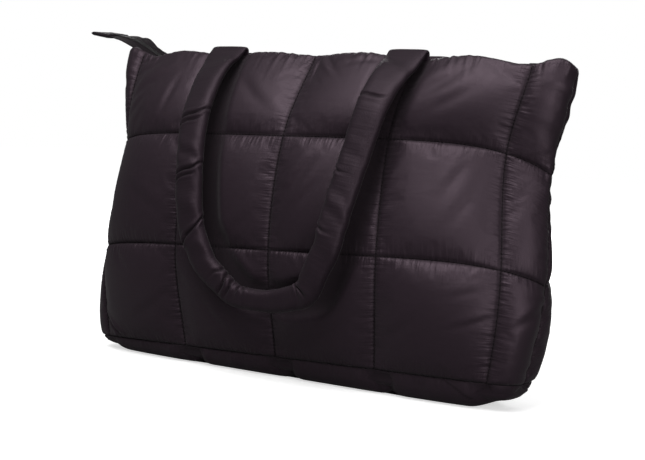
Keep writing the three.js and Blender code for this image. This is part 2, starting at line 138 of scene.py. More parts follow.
# How near two places are to be the same
SAME = 1e-6

# Steps along and up the cloth, in millimetres and rows, that its direction is taken over
NORMAL_REACH, NORMAL_RISE = 2.3, 0.02

# A pillow's rounding and its valley at the seams, for a cell across and for a cell up a panel
ACROSS_PILLOW = {"power": 0.55, "soft": 0.04}
UP_PILLOW = {"power": 0.30, "soft": 0.012}


# Sizes and colours that a user may change

class QuiltSettings(bpy.types.PropertyGroup):
    """Padding and seams of the quilted panels."""

    puff: FloatProperty(
        name="Puff", description="How far a full quilt cell stands proud of its seams",
        default=0.0085, min=0, unit="LENGTH")
    pressure: FloatProperty(
        name="Pressure", description="How hard the wadding pushes the cloth out while it settles",
        default=1.2, min=0)
    growth: FloatProperty(
        name="Spare cloth", description="Share of cloth that is gathered into the seams",
        default=0.012, min=0, max=0.3, subtype="FACTOR")
    pucker: FloatProperty(
        name="Pucker", description="Height of the small puckers beside a seam",
        default=0.00055, min=0, unit="LENGTH")
    drag: FloatProperty(
        name="Drag lines", description="Height of the long soft folds that run from a seam into a cell",
        default=0.0009, min=0, unit="LENGTH")
    press: FloatProperty(
        name="Press", description="How far a hanging handle presses the padding in", default=0.0075, min=0,
        unit="LENGTH")
    valley: FloatProperty(
        name="Valley", description="How far a seam draws the cloth in along its stitches",
        default=0.0008, min=0, unit="LENGTH")
    stitch: FloatProperty(
        name="Stitch", description="Length of one stitch", default=0.0026, min=0.0005, unit="LENGTH")
    stitch_pitch: FloatProperty(
        name="Stitch pitch", description="From one stitch to the next", default=0.0035, min=0.001,
        unit="LENGTH")
    thread: FloatProperty(
        name="Thread", description="Thickness of the thread", default=0.0006, min=0.0001, unit="LENGTH")


class HandleSettings(bpy.types.PropertyGroup):
    """Padded tube handles."""

    crease: FloatProperty(
        name="Crease", description="Depth of a full crease across a handle", default=0.0024, min=0,
        unit="LENGTH")
    pucker: FloatProperty(
        name="Pucker", description="Height of the puckers beside the closing seam", default=0.0007, min=0,
        unit="LENGTH")
    sides: IntProperty(name="Sides", description="Faces around a handle", default=64, min=12)
    step: FloatProperty(
        name="Step", description="Length of a face along a handle", default=0.0011, min=0.0005,
        unit="LENGTH")


class ZipSettings(bpy.types.PropertyGroup):
    """Zip tapes, teeth, tab and slider."""

    tape_thick: FloatProperty(
        name="Tape", description="Thickness of the tape", default=0.0008, min=0.0002, unit="LENGTH")
    tooth_pitch: FloatProperty(
        name="Tooth pitch", description="From one tooth of a row to the next", default=0.0021, min=0.0005,
        unit="LENGTH")
    tooth: FloatProperty(
        name="Tooth", description="Thickness of a tooth's wire", default=0.0011, min=0.0002, unit="LENGTH")


class FinishSettings(bpy.types.PropertyGroup):
    """Colours and gloss of the bag's materials."""

    nylon: FloatVectorProperty(
        name="Nylon", description="Colour of the quilted nylon", default=(0.0205, 0.0126, 0.0186),
        subtype="COLOR", min=0, max=1)
    # The handles' colour is the panels' nylon made darker, as painted shade
    shaded_strap: FloatVectorProperty(
        name="Handle nylon", description="Colour of the handles", default=(0.0150, 0.0092, 0.0138),
        subtype="COLOR", min=0, max=1)
    tape: FloatVectorProperty(
        name="Tape", description="Colour of the zip tape", default=(0.0034, 0.0033, 0.0033),
        subtype="COLOR", min=0, max=1)
    coil: FloatVectorProperty(
        name="Teeth", description="Colour of the zip's teeth", default=(0.0045, 0.0045, 0.0045),
        subtype="COLOR", min=0, max=1)
    tab: FloatVectorProperty(
        name="Tab", description="Colour of the tab's cloth", default=(0.0045, 0.0040, 0.0044),
        subtype="COLOR", min=0, max=1)
    thread: FloatVectorProperty(
        name="Thread", description="Colour of the stitching", default=(0.0020, 0.0016, 0.0018),
        subtype="COLOR", min=0, max=1)
    metal: FloatVectorProperty(
        name="Slider", description="Colour of the slider's metal", default=(0.035, 0.035, 0.037),
        subtype="COLOR", min=0, max=1)
    gloss: FloatProperty(
        name="Nylon roughness", description="Roughness of the nylon", default=0.48, min=0, max=1,
        subtype="FACTOR")


class StageSettings(bpy.types.PropertyGroup):
    """Floor and studio light."""

    floor: FloatVectorProperty(
        name="Floor", description="Colour of the floor", default=(0.9, 0.9, 0.9), subtype="COLOR",
        min=0, max=1)
    floor_size: FloatProperty(
        name="Floor size", description="Length of the floor's side", default=12.0, min=1, unit="LENGTH")
    bounce: FloatProperty(
        name="Bounce", description="Share of its colour that the floor throws back at the bag", default=0.2,
        min=0, max=1, subtype="FACTOR")
    glow: FloatProperty(
        name="Floor glow", description="How far the floor is lifted towards white in the picture",
        default=0.60, min=0)
    room: FloatProperty(
        name="Room light", description="Strength of the even light from all round", default=0.06, min=0)
    key: FloatProperty(
        name="Key light", description="Power of the soft light in front and above", default=30.0, min=0,
        unit="POWER")
    top: FloatProperty(
        name="Top light", description="Power of the large light overhead", default=12.0, min=0,
        unit="POWER")
    side: FloatProperty(
        name="Side light", description="Power of the soft light at the right", default=14.0, min=0,
        unit="POWER")
    back: FloatProperty(
        name="Back light", description="Power of the soft light behind", default=26.0, min=0, unit="POWER")


SETTINGS = {
    "tote_quilt": QuiltSettings,
    "tote_handles": HandleSettings,
    "tote_zip": ZipSettings,
    "tote_finish": FinishSettings,
    "tote_stage": StageSettings,
}


# Lines and directions

def unit(vectors):
    """The same directions at a length of 1."""
    return vectors / np.maximum(1e-9, np.linalg.norm(vectors, axis=-1, keepdims=True))


def ease(share):
    """A share from 0 to 1 that starts and ends gently."""
    share = np.clip(share, 0, 1)
    return share * share * (3 - 2 * share)


def travel_along(points):
    """How far along a line each of its points lies."""
    return np.concatenate([[0], np.cumsum(np.linalg.norm(np.diff(points, axis=0), axis=1))])


def smooth_line(values, times):
    """Evens a line out a number of times, with its ends held."""
    for _ in range(times):
        values[1:-1] = (values[:-2] + 2 * values[1:-1] + values[2:]) / 4
    return values


# Sewn cloth

def read_table(places, values, at):
    """A smooth cubic reading of a table's column."""
    x, y = np.asarray(places, float), np.asarray(values, float)
    at = np.clip(np.asarray(at, float), x[0], x[-1])
    k = np.clip(np.searchsorted(x, at, side="right"), 1, len(x) - 1)
    before = np.where(k > 1, k - 2, k)
    after = np.where(k + 1 < len(x), k + 1, k - 1)
    x0, x1 = x[k - 1], x[k]
    half = (x1 - x0) / 2
    wp, wn = half / (x0 - x[before]), half / (x[after] - x1)
    p = (at - x0) / (x1 - x0)
    p2, p3 = p * p, p * p * p
    return (
        (-wp * p3 + 2 * wp * p2 - wp * p) * y[before]
        + ((1 + wp) * p3 + (-1.5 - 2 * wp) * p2 + (-0.5 + wp) * p + 1) * y[k - 1]
        + ((-1 - wn) * p3 + (1.5 + wn) * p2 + 0.5 * p) * y[k]
        + (wn * p3 - wn * p2) * y[after]
    )


def section(name, row):
    """A column of the sections, read at quilt rows."""
    return read_table(range(len(SECTIONS[name])), SECTIONS[name], row)


def depth_of(row, side):
    """How far a panel's middle stands out from the side seams."""
    return section("front" if side == FRONT else "back", row)


def cloth_height(along, row, side):
    """Height of the stitched cloth, which dips to the side seams and is uneven at the top edge."""
    share = along / PANEL_HALF
    drop = np.abs(share) ** SIDE_POWER
    sag = BACK_SAG * (1 - drop) if side == BACK else 0
    lift = read_table(TOP_EDGE["along"], TOP_EDGE["lift"], along) - sag
    top = np.maximum(0, row - TOP_ROW + 1) ** 2
    return section("z", row) - section("dip", row) * drop + section("tilt", row) * share + lift * top


def half_outline(rows, side, hand):
    """Half outlines of the bag from the middle to a side seam, one for each row, and the run along each."""
    angle = (1 - (1 - np.linspace(0, 1, OUTLINE_POINTS)) ** OUTLINE_EASE) * np.pi / 2
    power = 2 / section("square_left" if hand == LEFT else "square_right", rows)[:, None]
    bow = np.maximum(0, np.cos(angle)) ** power
    bow[:, -1] = 0
    x = section("left" if hand == LEFT else "right", rows)[:, None] * np.sin(angle) ** power
    y = section("seam_y", rows)[:, None] + side * depth_of(rows, side)[:, None] * bow
    run = np.cumsum(np.hypot(np.diff(x, axis=1), np.diff(y, axis=1)), axis=1)
    run = np.concatenate([np.zeros((len(rows), 1)), run], axis=1)
    return hand * x, y, run / run[:, -1:]


def cloth(along, row, side):
    """Places on the stitched cloth before it is padded, one for each pair of along and row."""
    along, row = np.broadcast_arrays(np.asarray(along, float), np.asarray(row, float))
    shape, along, row = along.shape, along.ravel(), row.ravel()
    rows, which = np.unique(row, return_inverse=True)
    found = np.empty((len(along), 3))
    for hand in (LEFT, RIGHT):
        x, y, run = half_outline(rows, side, hand)
        mine = np.flatnonzero((along < 0) == (hand == LEFT))
        order = mine[np.argsort(which[mine], kind="stable")]
        starts = np.searchsorted(which[order], np.arange(len(rows) + 1))
        for k in range(len(rows)):
            at = order[starts[k]:starts[k + 1]]
            share = np.abs(along[at]) / PANEL_HALF
            found[at, 0] = np.interp(share, run[k], x[k])
            found[at, 1] = np.interp(share, run[k], y[k])
    found[:, 2] = cloth_height(along, row, side)
    return found.reshape(*shape, 3)


def cloth_normal(along, row, side):
    """The stitched cloth's outward direction."""
    along, row = np.broadcast_arrays(np.asarray(along, float), np.asarray(row, float))
    beside = lambda by: cloth(np.clip(along + by, -PANEL_HALF, PANEL_HALF), row, side)
    above = lambda by: cloth(along, np.clip(row + by, 0, TOP_ROW), side)
    across = beside(NORMAL_REACH) - beside(-NORMAL_REACH)
    up = above(NORMAL_RISE) - above(-NORMAL_RISE)
    return unit(-side * np.cross(across, up))


def row_at(x, z, side):
    """Where a place on a panel lies, in quilt rows."""
    x = np.asarray(x, float)
    along = np.empty_like(x)
    for hand in (LEFT, RIGHT):
        edge, _, run = half_outline(np.array([float(TOP_ROW)]), side, hand)
        mine = (x < 0) == (hand == LEFT)
        along[mine] = hand * PANEL_HALF * np.interp(np.abs(x[mine]), np.abs(edge[0]), run[0])
    low, high = np.zeros_like(along), np.full_like(along, TOP_ROW)
    for _ in range(HALVINGS):
        middle = (low + high) / 2
        under = cloth_height(along, middle, side) < z
        low, high = np.where(under, middle, low), np.where(under, high, middle)
    return low


def face_y(x, z, side):
    """The stitched cloth's y at places on a panel."""
    row = row_at(x, z, side)
    by_hand = lambda left, right: np.where(x < 0, section(left, row), section(right, row))
    square = by_hand("square_left", "square_right")
    bow = np.maximum(0, 1 - np.abs(x / by_hand("left", "right")) ** square) ** (1 / square)
    return section("seam_y", row) + side * depth_of(row, side) * bow


def swell_over(share, power, soft):
    """A pillow's height between two seams; a larger soft opens the valley at the seams."""
    full = np.maximum(0, 4 * share * (1 - share))
    return ((full + soft) ** power - soft ** power) / ((1 + soft) ** power - soft ** power)


def swell_across(along):
    """How full a quilt cell is, by its place between two upright seams."""
    seams = np.array(UPRIGHT_SEAMS, float)
    k = np.clip(np.searchsorted(seams, along - SAME), 1, len(seams) - 1)
    start, end = seams[k - 1], seams[k]
    fullness = np.minimum(1, (end - start) / QUILT_COLUMN + SIDE_FULLNESS)
    return fullness * swell_over((along - start) / (end - start), **ACROSS_PILLOW)


def swell_up(row, puff):
    """How full a quilt cell is, by its place between two level seams; the top row thins to its edge."""
    share = row - (TOP_ROW - 1)
    thin = 1 - (1 - TOP_PUFF / puff) * (np.maximum(0, share - TOP_FULL) / (1 - TOP_FULL)) ** 3
    cell = row - np.floor(np.minimum(row, TOP_ROW - SAME))
    return np.where(share < TOP_FULL, swell_over(cell, **UP_PILLOW), thin)


# Folds and puckers

# An uneven wave: sizes of the slow bends that shift it and their lengths in waves, its overtone, and how
# its height varies
RIPPLE_BENDS = ((1.3, 5.3), (0.8, 2.3))
OVERTONE = {"size": 0.6, "rate": 1.73}
RIPPLE_HEIGHT = {"even": 0.62, "uneven": 0.38, "length": 7.1}

# Puckers at any seam: the width that its stitches hold flat, the even and uneven shares of their reach, how
# they fade and lean, and the lengths of both changes in waves
PUCKER = {
    "held": 1.1, "even": 0.75, "uneven": 0.5, "length": 3.1, "fade": 1.4, "lean": 0.22, "lean_length": 9}

# The ridge along a fold, as shares of its depth and half width
FOLD_RIDGE = {"height": 0.8, "beside": 1.9, "half": 1.3}


def ripple(at, length, seed):
    """An uneven wave along a line, between about -1 and 1, the same on every run."""
    phase = np.random.default_rng(seed).uniform(0, 2 * np.pi, 6)
    turn = 2 * np.pi * at / length
    bend = sum(size * np.sin(turn / slow + start) for (size, slow), start in zip(RIPPLE_BENDS, phase))
    wave = np.sin(turn + bend + phase[2])
    wave = wave + OVERTONE["size"] * np.sin(turn * OVERTONE["rate"] + bend + phase[3])
    change = np.sin(turn / RIPPLE_HEIGHT["length"] + phase[4])
    return wave * (RIPPLE_HEIGHT["even"] + RIPPLE_HEIGHT["uneven"] * change)


def seam_puckers(distance, at, length, reach, seed):
    """Puckers that run away from a seam, of uneven length, held flat at the stitches."""
    change = np.abs(ripple(at, length * PUCKER["length"], seed + 1))
    uneven = reach * (PUCKER["even"] + PUCKER["uneven"] * change)
    lean = PUCKER["lean"] * distance * ripple(at, length * PUCKER["lean_length"], seed + 2)
    held = 1 - np.exp(-((distance / PUCKER["held"]) ** 2))
    return held * np.exp(-((distance / uneven) ** PUCKER["fade"])) * ripple(at + lean, length, seed)


def fold_lines(along, height, folds):
    """Single soft folds from a table: each a valley with a fuller ridge along one side."""
    total = np.zeros_like(along)
    for place, rise, angle, length, width, bend, depth in folds:
        turn = math.radians(angle)
        x, y = along - place, height - rise
        down = (x * math.cos(turn) + y * math.sin(turn)) / length
        cross = (y * math.cos(turn) - x * math.sin(turn)) / width - bend * down ** 2
        beside = (cross - FOLD_RIDGE["beside"]) / FOLD_RIDGE["half"]
        ridge = FOLD_RIDGE["height"] * np.exp(-(beside ** 2))
        total += depth * np.exp(-down ** 2) * (ridge - np.exp(-cross ** 2))
    return total


# Folds on a panel: along and height of the middle, direction in degrees, half length, half width,
# bend, and depth as a share of the drag lines' height
FRONT_FOLDS = (
    (-215, 296, 19, 32, 4.5, 0.3, 1.0),
    (-195, 280, 24, 31, 5.0, -0.3, 1.0),
    (-205, 262, 35, 22, 4.0, 0.2, 0.7),
    (-158, 267, 75, 16, 4.0, 0.2, 0.8),
    (-50, 270, -30, 24, 5.0, 0.2, 0.7),
    (2, 304, 51, 13, 2.2, 0.0, 2.0),
    (11, 302, 93, 12, 2.0, 0.0, 2.0),
    (22, 305, 143, 15, 2.4, 0.0, 2.0),
    (67, 304, 9, 21, 3.0, 0.0, 0.9),
    (153, 285, 30, 24, 6.0, 0.3, 1.3),
    (170, 272, 32, 19, 5.0, 0.2, 0.8),
    (198, 179, 62, 22, 5.0, 0.2, 1.0),
    (186, 200, 62, 17, 4.5, -0.2, 0.8),
    (32, 197, 56, 28, 5.0, 0.3, 1.0),
    (46, 183, 52, 20, 4.5, 0.2, 0.8),
    (-160, 170, -30, 24, 5.0, 0.2, 0.6),
    (-30, 150, 40, 20, 5.0, 0.2, 0.6),
    (255, 208, 45, 21, 4.0, 0.2, 0.8),
    (-215, 34, -43, 17, 2.4, 0.2, 4.0),
    (-150, 62, 30, 24, 5.0, 0.2, 0.6),
    (-66, 59, -46, 19, 4.0, 0.2, 0.7),
    (60, 49, 26, 27, 4.5, 0.2, 0.7),
    (140, 60, 35, 24, 5.0, 0.2, 0.6),
    (210, 103, 23, 16, 3.0, 0.2, 0.9),
    (212, 76, 23, 19, 3.0, 0.2, 0.9),
    (256, 89, 45, 21, 3.5, 0.2, 1.0),
)
BACK_FOLDS = (
    (195, 282, -24, 31, 5.0, 0.3, 1.0),
    (205, 262, -35, 22, 4.0, 0.2, 0.7),
    (-150, 280, -30, 24, 6.0, 0.3, 1.2),
    (12, 302, 88, 12, 2.6, 0.0, 1.0),
    (-14, 304, 50, 14, 2.6, 0.0, 1.0),
    (-196, 180, -60, 22, 5.0, 0.2, 0.9),
    (-40, 192, -54, 26, 5.0, 0.2, 0.9),
    (150, 172, 32, 24, 5.0, 0.2, 0.7),
    (60, 150, -38, 20, 5.0, 0.2, 0.6),
    (-212, 88, -22, 18, 3.0, 0.2, 0.9),
    (-60, 52, -26, 26, 4.5, 0.2, 0.7),
    (150, 62, -32, 24, 5.0, 0.2, 0.6),
    (70, 60, 44, 19, 4.0, 0.2, 0.7),
)
FOLDS = {FRONT: FRONT_FOLDS, BACK: BACK_FOLDS}

# How fully a fold shows in the middle of a cell and at its seams
FOLD_FULL, FOLD_LEAST = 1.3, 0.15

# Puckers beside a seam: length of a wave, reach into the cell, and height as a share of a full pucker
SEAM_PUCKERS = {
    "side": (27, 13, 1.6),
    "upright": (5.2, 7.5, 1.0),
    "top": (13, 14, 1.2),
    "level": (5.0, 6.5, 0.9),
}
PUCKER_FIELD = 45

# Seeds of a panel's puckers, from one seam to the next, and from the upright seams to the level ones
PUCKER_SEEDS = {FRONT: 10, BACK: 500}
SEED_STEP, LEVEL_SEEDS = 7, 90

# A seam's valley, drawn in and darkened with painted shade: half width, how far that wavers, length of the
# waver, and its seed
SEAM_VALLEYS = {"upright": (1.5, 0.45, 4.6, 301), "level": (1.1, 0.35, 4.6, 302)}

# The dent under a hanging handle: its margin, how steeply it ends, and which points of the line make it
PRESS_MARGIN, PRESS_POWER, PRESS_EVERY = 6, 6, 4


def beside_upright(along):
    """Distance from the nearest upright seam."""
    return np.min([np.abs(along - seam) for seam in UPRIGHT_SEAMS], axis=0)


def beside_level(row):
    """Distance from the nearest level seam."""
    return np.abs(row - np.round(row)) * ROW_HEIGHT


def in_seam(along, row):
    """How deep in a seam's tight, uneven valley a place lies, from 0 to 1, for its depth and its painted
    shade.
    """
    off = []
    for kind, distance, at in (
            ("upright", beside_upright(along), section("z", row)), ("level", beside_level(row), along)):
        half, waver, length, seed = SEAM_VALLEYS[kind]
        off.append(distance / (half + waver * ripple(at, length, seed)))
    return np.exp(-np.minimum(*off) ** 2)


def strap_press(along, row, side):
    """How far a hanging handle presses the padding under it in, from 0 to 1."""
    line, width, _ = handle_line(side)
    place = cloth(along, row, side)
    pressed = np.zeros_like(along)
    for point, wide in zip(line[::PRESS_EVERY], width[::PRESS_EVERY]):
        distance = np.hypot(place[..., 0] - point[0], place[..., 2] - point[2])
        pressed = np.maximum(pressed, np.exp(-((distance / (wide / 2 + PRESS_MARGIN)) ** PRESS_POWER)))
    return pressed


def quilt_detail(along, row, side, quilt, pressed):
    """Height of puckers and folds over a panel, in millimetres; pressed is 1 under a handle."""
    height = section("z", row)
    seed = PUCKER_SEEDS[side]
    seams = [
        (along - seam, height, "side" if abs(seam) == PANEL_HALF else "upright", seed + SEED_STEP * k)
        for k, seam in enumerate(UPRIGHT_SEAMS)]
    seams += [
        ((row - level) * ROW_HEIGHT, along, "top" if level == TOP_ROW else "level",
         seed + LEVEL_SEEDS + SEED_STEP * level)
        for level in range(TOP_ROW + 1)]
    total = np.zeros_like(along)
    for offset, at, kind, draw in seams:
        length, reach, rise = SEAM_PUCKERS[kind]
        for sign in (-1, 1):
            distance = sign * offset
            near = (distance >= 0) & (distance < PUCKER_FIELD)
            waves = seam_puckers(distance[near], at[near], length, reach, draw + sign)
            total[near] += quilt.pucker / MM * rise * waves
    padded = swell_across(along) * swell_up(row, quilt.puff / MM)
    total -= quilt.press / MM * padded * pressed
    cell = swell_across(along) * swell_over(np.clip(row - np.floor(row), 0, 1), **ACROSS_PILLOW)
    shown = np.minimum(1, cell * FOLD_FULL + FOLD_LEAST)
    total += quilt.drag / MM * fold_lines(along, height, FOLDS[side]) * shown
    return total - quilt.valley / MM * in_seam(along, row)


# Meshes

MERGE = 1e-7


def add_sheet(bm, points):
    """Adds a grid bent onto rows of points in millimetres, and returns its vertices."""
    rows, columns = points.shape[:2]
    grid = bmesh.ops.create_grid(bm, x_segments=columns - 1, y_segments=rows - 1, size=1)
    for vert, place in zip(grid["verts"], points.reshape(-1, 3) * MM):
        vert.co = place
    return grid["verts"]


def bent_sheet(points, closed=False):
    """A bmesh bent onto rows of points in millimetres, its first and last columns joined if closed."""
    bm = bmesh.new()
    add_sheet(bm, points)
    if closed:
        bmesh.ops.remove_doubles(bm, verts=bm.verts, dist=MERGE)
    return bm


def wrapped(top, low):
    """Rings that run over an upper sheet of points and back under a lower one."""
    return np.concatenate([top, low[:, ::-1], top[:, :1]], axis=1)


def open_edges(bm):
    """Edges with a face on one side only."""
    return [edge for edge in bm.edges if edge.is_boundary]


def close_ends(bm, triangles=False):
    """Fills a bmesh's open ends, with triangles if asked, and turns its faces outwards."""
    bmesh.ops.holes_fill(bm, edges=open_edges(bm))
    if triangles:
        bmesh.ops.triangulate(bm, faces=[face for face in bm.faces if len(face.verts) > 4])
    bmesh.ops.recalc_face_normals(bm, faces=bm.faces)


def require_closed(bm, name):
    """Stops if a bmesh has an edge that isn't shared by two faces."""
    if any(not edge.is_manifold for edge in bm.edges):
        raise RuntimeError(f"{name} isn't closed")


def placed(axes, centre, size):
    """Puts a unit shape at a place in millimetres, with its own axes and sizes."""
    turn = Matrix(axes).transposed().to_4x4()
    turn.translation = centre
    return Matrix.Scale(MM, 4) @ turn @ Matrix.Diagonal((*size, 1))


def as_mesh(name, bm):
    """A mesh from a bmesh, which is freed."""
    mesh = bpy.data.meshes.new(name)
    bm.to_mesh(mesh)
    bm.free()
    return mesh


def link_object(name, data):
    """A new object in the scene."""
    made = bpy.data.objects.new(name, data)
    bpy.context.scene.collection.objects.link(made)
    return made


def finish_piece(name, bm, material):
    """Links a bmesh as a piece of the bag that rides on its one body."""
    mesh = as_mesh(name, bm)
    mesh.polygons.foreach_set("use_smooth", [True] * len(mesh.polygons))
    mesh.materials.append(material)
    piece = link_object(name, mesh)
    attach(piece, "root")
    return piece


def places_of(mesh):
    """A mesh's points in metres, one row each."""
    found = np.empty(len(mesh.vertices) * 3)
    mesh.vertices.foreach_get("co", found)
    return found.reshape(-1, 3)


def set_corner_uv(mesh, per_vertex):
    """Gives a mesh a UV map from one pair of numbers for each of its points."""
    if len(per_vertex) != len(mesh.vertices):
        raise RuntimeError(f"{mesh.name} has lost points")
    layer = mesh.uv_layers.new(name="cloth")
    corner = np.empty(len(mesh.loops), np.int32)
    mesh.loops.foreach_get("vertex_index", corner)
    layer.data.foreach_set("uv", per_vertex[corner].astype(np.float32).ravel())


def set_values(mesh, name, values):
    """Gives a mesh one number for each of its points."""
    mesh.attributes.new(name, "FLOAT", "POINT").data.foreach_set("value", values.astype(np.float32))


def cell_places(steps):
    """Places along a panel, so many times closer than the sheet's own grid, with one on each seam."""
    places = [np.array([UPRIGHT_SEAMS[0]], float)]
    for start, end in zip(UPRIGHT_SEAMS, UPRIGHT_SEAMS[1:]):
        count = steps * (COLUMN_STEPS if end - start == QUILT_COLUMN else SIDE_STEPS)
        places.append(np.linspace(start, end, count + 1)[1:])
    return np.concatenate(places)


def panel_grid(steps):
    """Along and row of a panel's grid of places."""
    return np.meshgrid(cell_places(steps), np.linspace(0, TOP_ROW, TOP_ROW * ROW_STEPS * steps + 1))


def finer(points, breaks):
    """Twice as many rows of points, smooth between the rows that breaks names and sharp at them."""
    pieces = [points[:1]]
    for start, end in zip(breaks, breaks[1:]):
        cell = points[start:end + 1]
        first = 3 * cell[0] - 3 * cell[1] + cell[2]
        last = 3 * cell[-1] - 3 * cell[-2] + cell[-3]
        long = np.concatenate([first[None], cell, last[None]])
        middle = (-long[:-3] + 9 * long[1:-2] + 9 * long[2:-1] - long[3:]) / 16
        pieces.append(np.stack([middle, cell[1:]], axis=1).reshape(-1, *cell.shape[1:]))
    return np.concatenate(pieces)


# How a panel's cloth behaves while its padding settles, for how many frames, and how far it may move
PANEL_CLOTH = {
    "quality": 7,
    "mass": 0.25,
    "air_damping": 2.0,
    "tension_stiffness": 12,
    "compression_stiffness": 12,
    "shear_stiffness": 4,
    "bending_stiffness": 0.4,
}
SETTLE_FRAMES = 20
SETTLE_MOST = 1.6


def settle_padding(points, pinned, quilt):
    """Lets pressure swell a sheet that its seams hold, and returns its settled points."""
    mesh = as_mesh("settling", bent_sheet(points))
    sheet = link_object("settling", mesh)
    seams = sheet.vertex_groups.new(name="seams")
    seams.add(np.flatnonzero(pinned.ravel()).tolist(), 1.0, "REPLACE")
    settings = sheet.modifiers.new("padding", "CLOTH").settings
    for name, value in PANEL_CLOTH.items():
        setattr(settings, name, value)
    settings.vertex_group_mass = "seams"
    settings.shrink_min = -quilt.growth
    settings.use_pressure = True
    settings.uniform_pressure_force = quilt.pressure
    settings.effector_weights.gravity = 0
    scene = bpy.context.scene
    scene.frame_start, scene.frame_end = 1, SETTLE_FRAMES
    for number in range(1, SETTLE_FRAMES + 1):
        scene.frame_set(number)
    settled = sheet.evaluated_get(bpy.context.evaluated_depsgraph_get()).to_mesh()
    found = places_of(settled)
    scene.frame_set(1)
    bpy.data.objects.remove(sheet)
    bpy.data.meshes.remove(mesh)
    return found.reshape(points.shape) / MM


# Node groups and materials

def feed(tree, node, links):
    """Links or sets a node's inputs, by name or number: an output is linked, and anything else is set."""
    for name, source in links.items():
        if isinstance(source, bpy.types.NodeSocket):
            tree.links.new(source, node.inputs[name])
        else:
            node.inputs[name].default_value = source


def add_node(tree, kind, links=None, **values):
    """A node with its properties set and its inputs fed."""
    node = tree.nodes.new(kind)
    for name, value in values.items():
        setattr(node, name, value)
    feed(tree, node, links or {})
    return node


def math_node(tree, operation, first, second=0.0, third=None):
    """The result of a sum on one to three numbers."""
    links = {0: first, 1: second}
    if third is not None:
        links[2] = third
    return add_node(tree, "ShaderNodeMath", links, operation=operation).outputs[0]


def noise_node(tree, place, scale, detail, rough=0.5, distortion=0.0):
    """A soft noise between 0 and 1."""
    return add_node(tree, "ShaderNodeTexNoise", {
        "Vector": place, "Scale": scale, "Detail": detail, "Roughness": rough,
        "Distortion": distortion}).outputs["Fac"]


# How far slubs show in a weave, streaks and soft crinkles in nylon, and the dye's drift and grain in a tone
SLUB, STREAK, SOFT_CRINKLE = 0.9, 0.12, 0.10
DYE_SHARE, COLOR_GRAIN, GLOSS_GRAIN, PLAIN_DRIFT = 0.5, 0.16, 0.12, 0.2
DYE_DRIFT = (0.0190, 0.0124, 0.0168, 1)

# A mix node's sockets for colours
MIX_FACTOR, MIX_FIRST, MIX_SECOND, MIX_RESULT = 0, 6, 7, 2


def mix_colors(tree, factor, first, second):
    """A colour between two others."""
    links = {MIX_FACTOR: factor, MIX_FIRST: first, MIX_SECOND: second}
    return add_node(tree, "ShaderNodeMix", links, data_type="RGBA").outputs[MIX_RESULT]


def fill_weave(group, given, made):
    """A plain weave with uneven threads, as a height."""
    across = add_node(group, "ShaderNodeSeparateXYZ", {0: given["Place"]}).outputs
    per = math_node(group, "DIVIDE", math.pi, given["Thread"])
    warp, weft = (math_node(group, "SINE", math_node(group, "MULTIPLY", across[k], per)) for k in (0, 1))
    crossing = math_node(group, "MULTIPLY", warp, weft)
    slub = noise_node(group, given["Place"], scale=420.0, detail=2.0)
    group.links.new(math_node(group, "MULTIPLY_ADD", slub, SLUB, crossing), made["Height"])


def fill_crinkle(group, given, made):
    """The small soft crinkles of thin nylon, drawn out across the nearest seam, as a height."""
    def drawn_out(by, scale, **noise):
        """Noise that is longer one way than the other."""
        place = add_node(group, "ShaderNodeVectorMath", {0: given["Place"], 1: by}, operation="MULTIPLY")
        return noise_node(group, place.outputs[0], scale, detail=2.0, **noise)

    upright = math_node(group, "MULTIPLY", drawn_out((90, 900, 1), 0.35), given["Beside upright seam"])
    level = math_node(group, "MULTIPLY", drawn_out((900, 90, 1), 0.35), given["Beside level seam"])
    streaks = drawn_out((25, 130, 1), 1.0, distortion=0.6)
    soft = noise_node(group, given["Place"], scale=55.0, detail=4.0, rough=0.6, distortion=0.8)
    height = math_node(group, "ADD", upright, level)
    height = math_node(group, "MULTIPLY_ADD", streaks, STREAK, height)
    height = math_node(group, "MULTIPLY_ADD", soft, SOFT_CRINKLE, height)
    group.links.new(height, made["Height"])


def fill_tone(group, given, made):
    """Uneven colour and gloss of dyed cloth: a colour that drifts a little, and a roughness."""
    broad = noise_node(group, given["Place"], scale=9.0, detail=2.0)
    fine = noise_node(group, given["Place"], scale=160.0, detail=3.0, rough=0.6)
    either_way = lambda noise: math_node(group, "SUBTRACT", noise, 0.5)
    lift = math_node(group, "MULTIPLY_ADD", either_way(broad), given["Drift"], 1.0)
    grain = math_node(group, "MULTIPLY_ADD", either_way(fine), COLOR_GRAIN, lift)
    warm = mix_colors(group, math_node(group, "MULTIPLY", broad, DYE_SHARE), given["Color"], DYE_DRIFT)
    shade = add_node(group, "ShaderNodeVectorMath", {0: warm, "Scale": grain}, operation="SCALE")
    group.links.new(shade.outputs[0], made["Color"])
    rough = math_node(group, "MULTIPLY_ADD", either_way(fine), GLOSS_GRAIN, given["Roughness"])
    group.links.new(rough, made["Roughness"])


# Shared node groups: their inputs with a kind and a value, their outputs, and what fills them
NODE_GROUPS = {
    "plain_weave": (
        {"Place": ("Vector", (0, 0, 0)), "Thread": ("Float", 0.0005)}, {"Height": "Float"}, fill_weave),
    "nylon_crinkle": (
        {"Place": ("Vector", (0, 0, 0)), "Beside upright seam": ("Float", 0.0),
         "Beside level seam": ("Float", 0.0)},
        {"Height": "Float"}, fill_crinkle),
    "dyed_tone": (
        {"Place": ("Vector", (0, 0, 0)), "Color": ("Color", (0.02, 0.016, 0.018, 1)),
         "Roughness": ("Float", 0.45), "Drift": ("Float", 0.25)},
        {"Color": "Color", "Roughness": "Float"}, fill_tone),
}


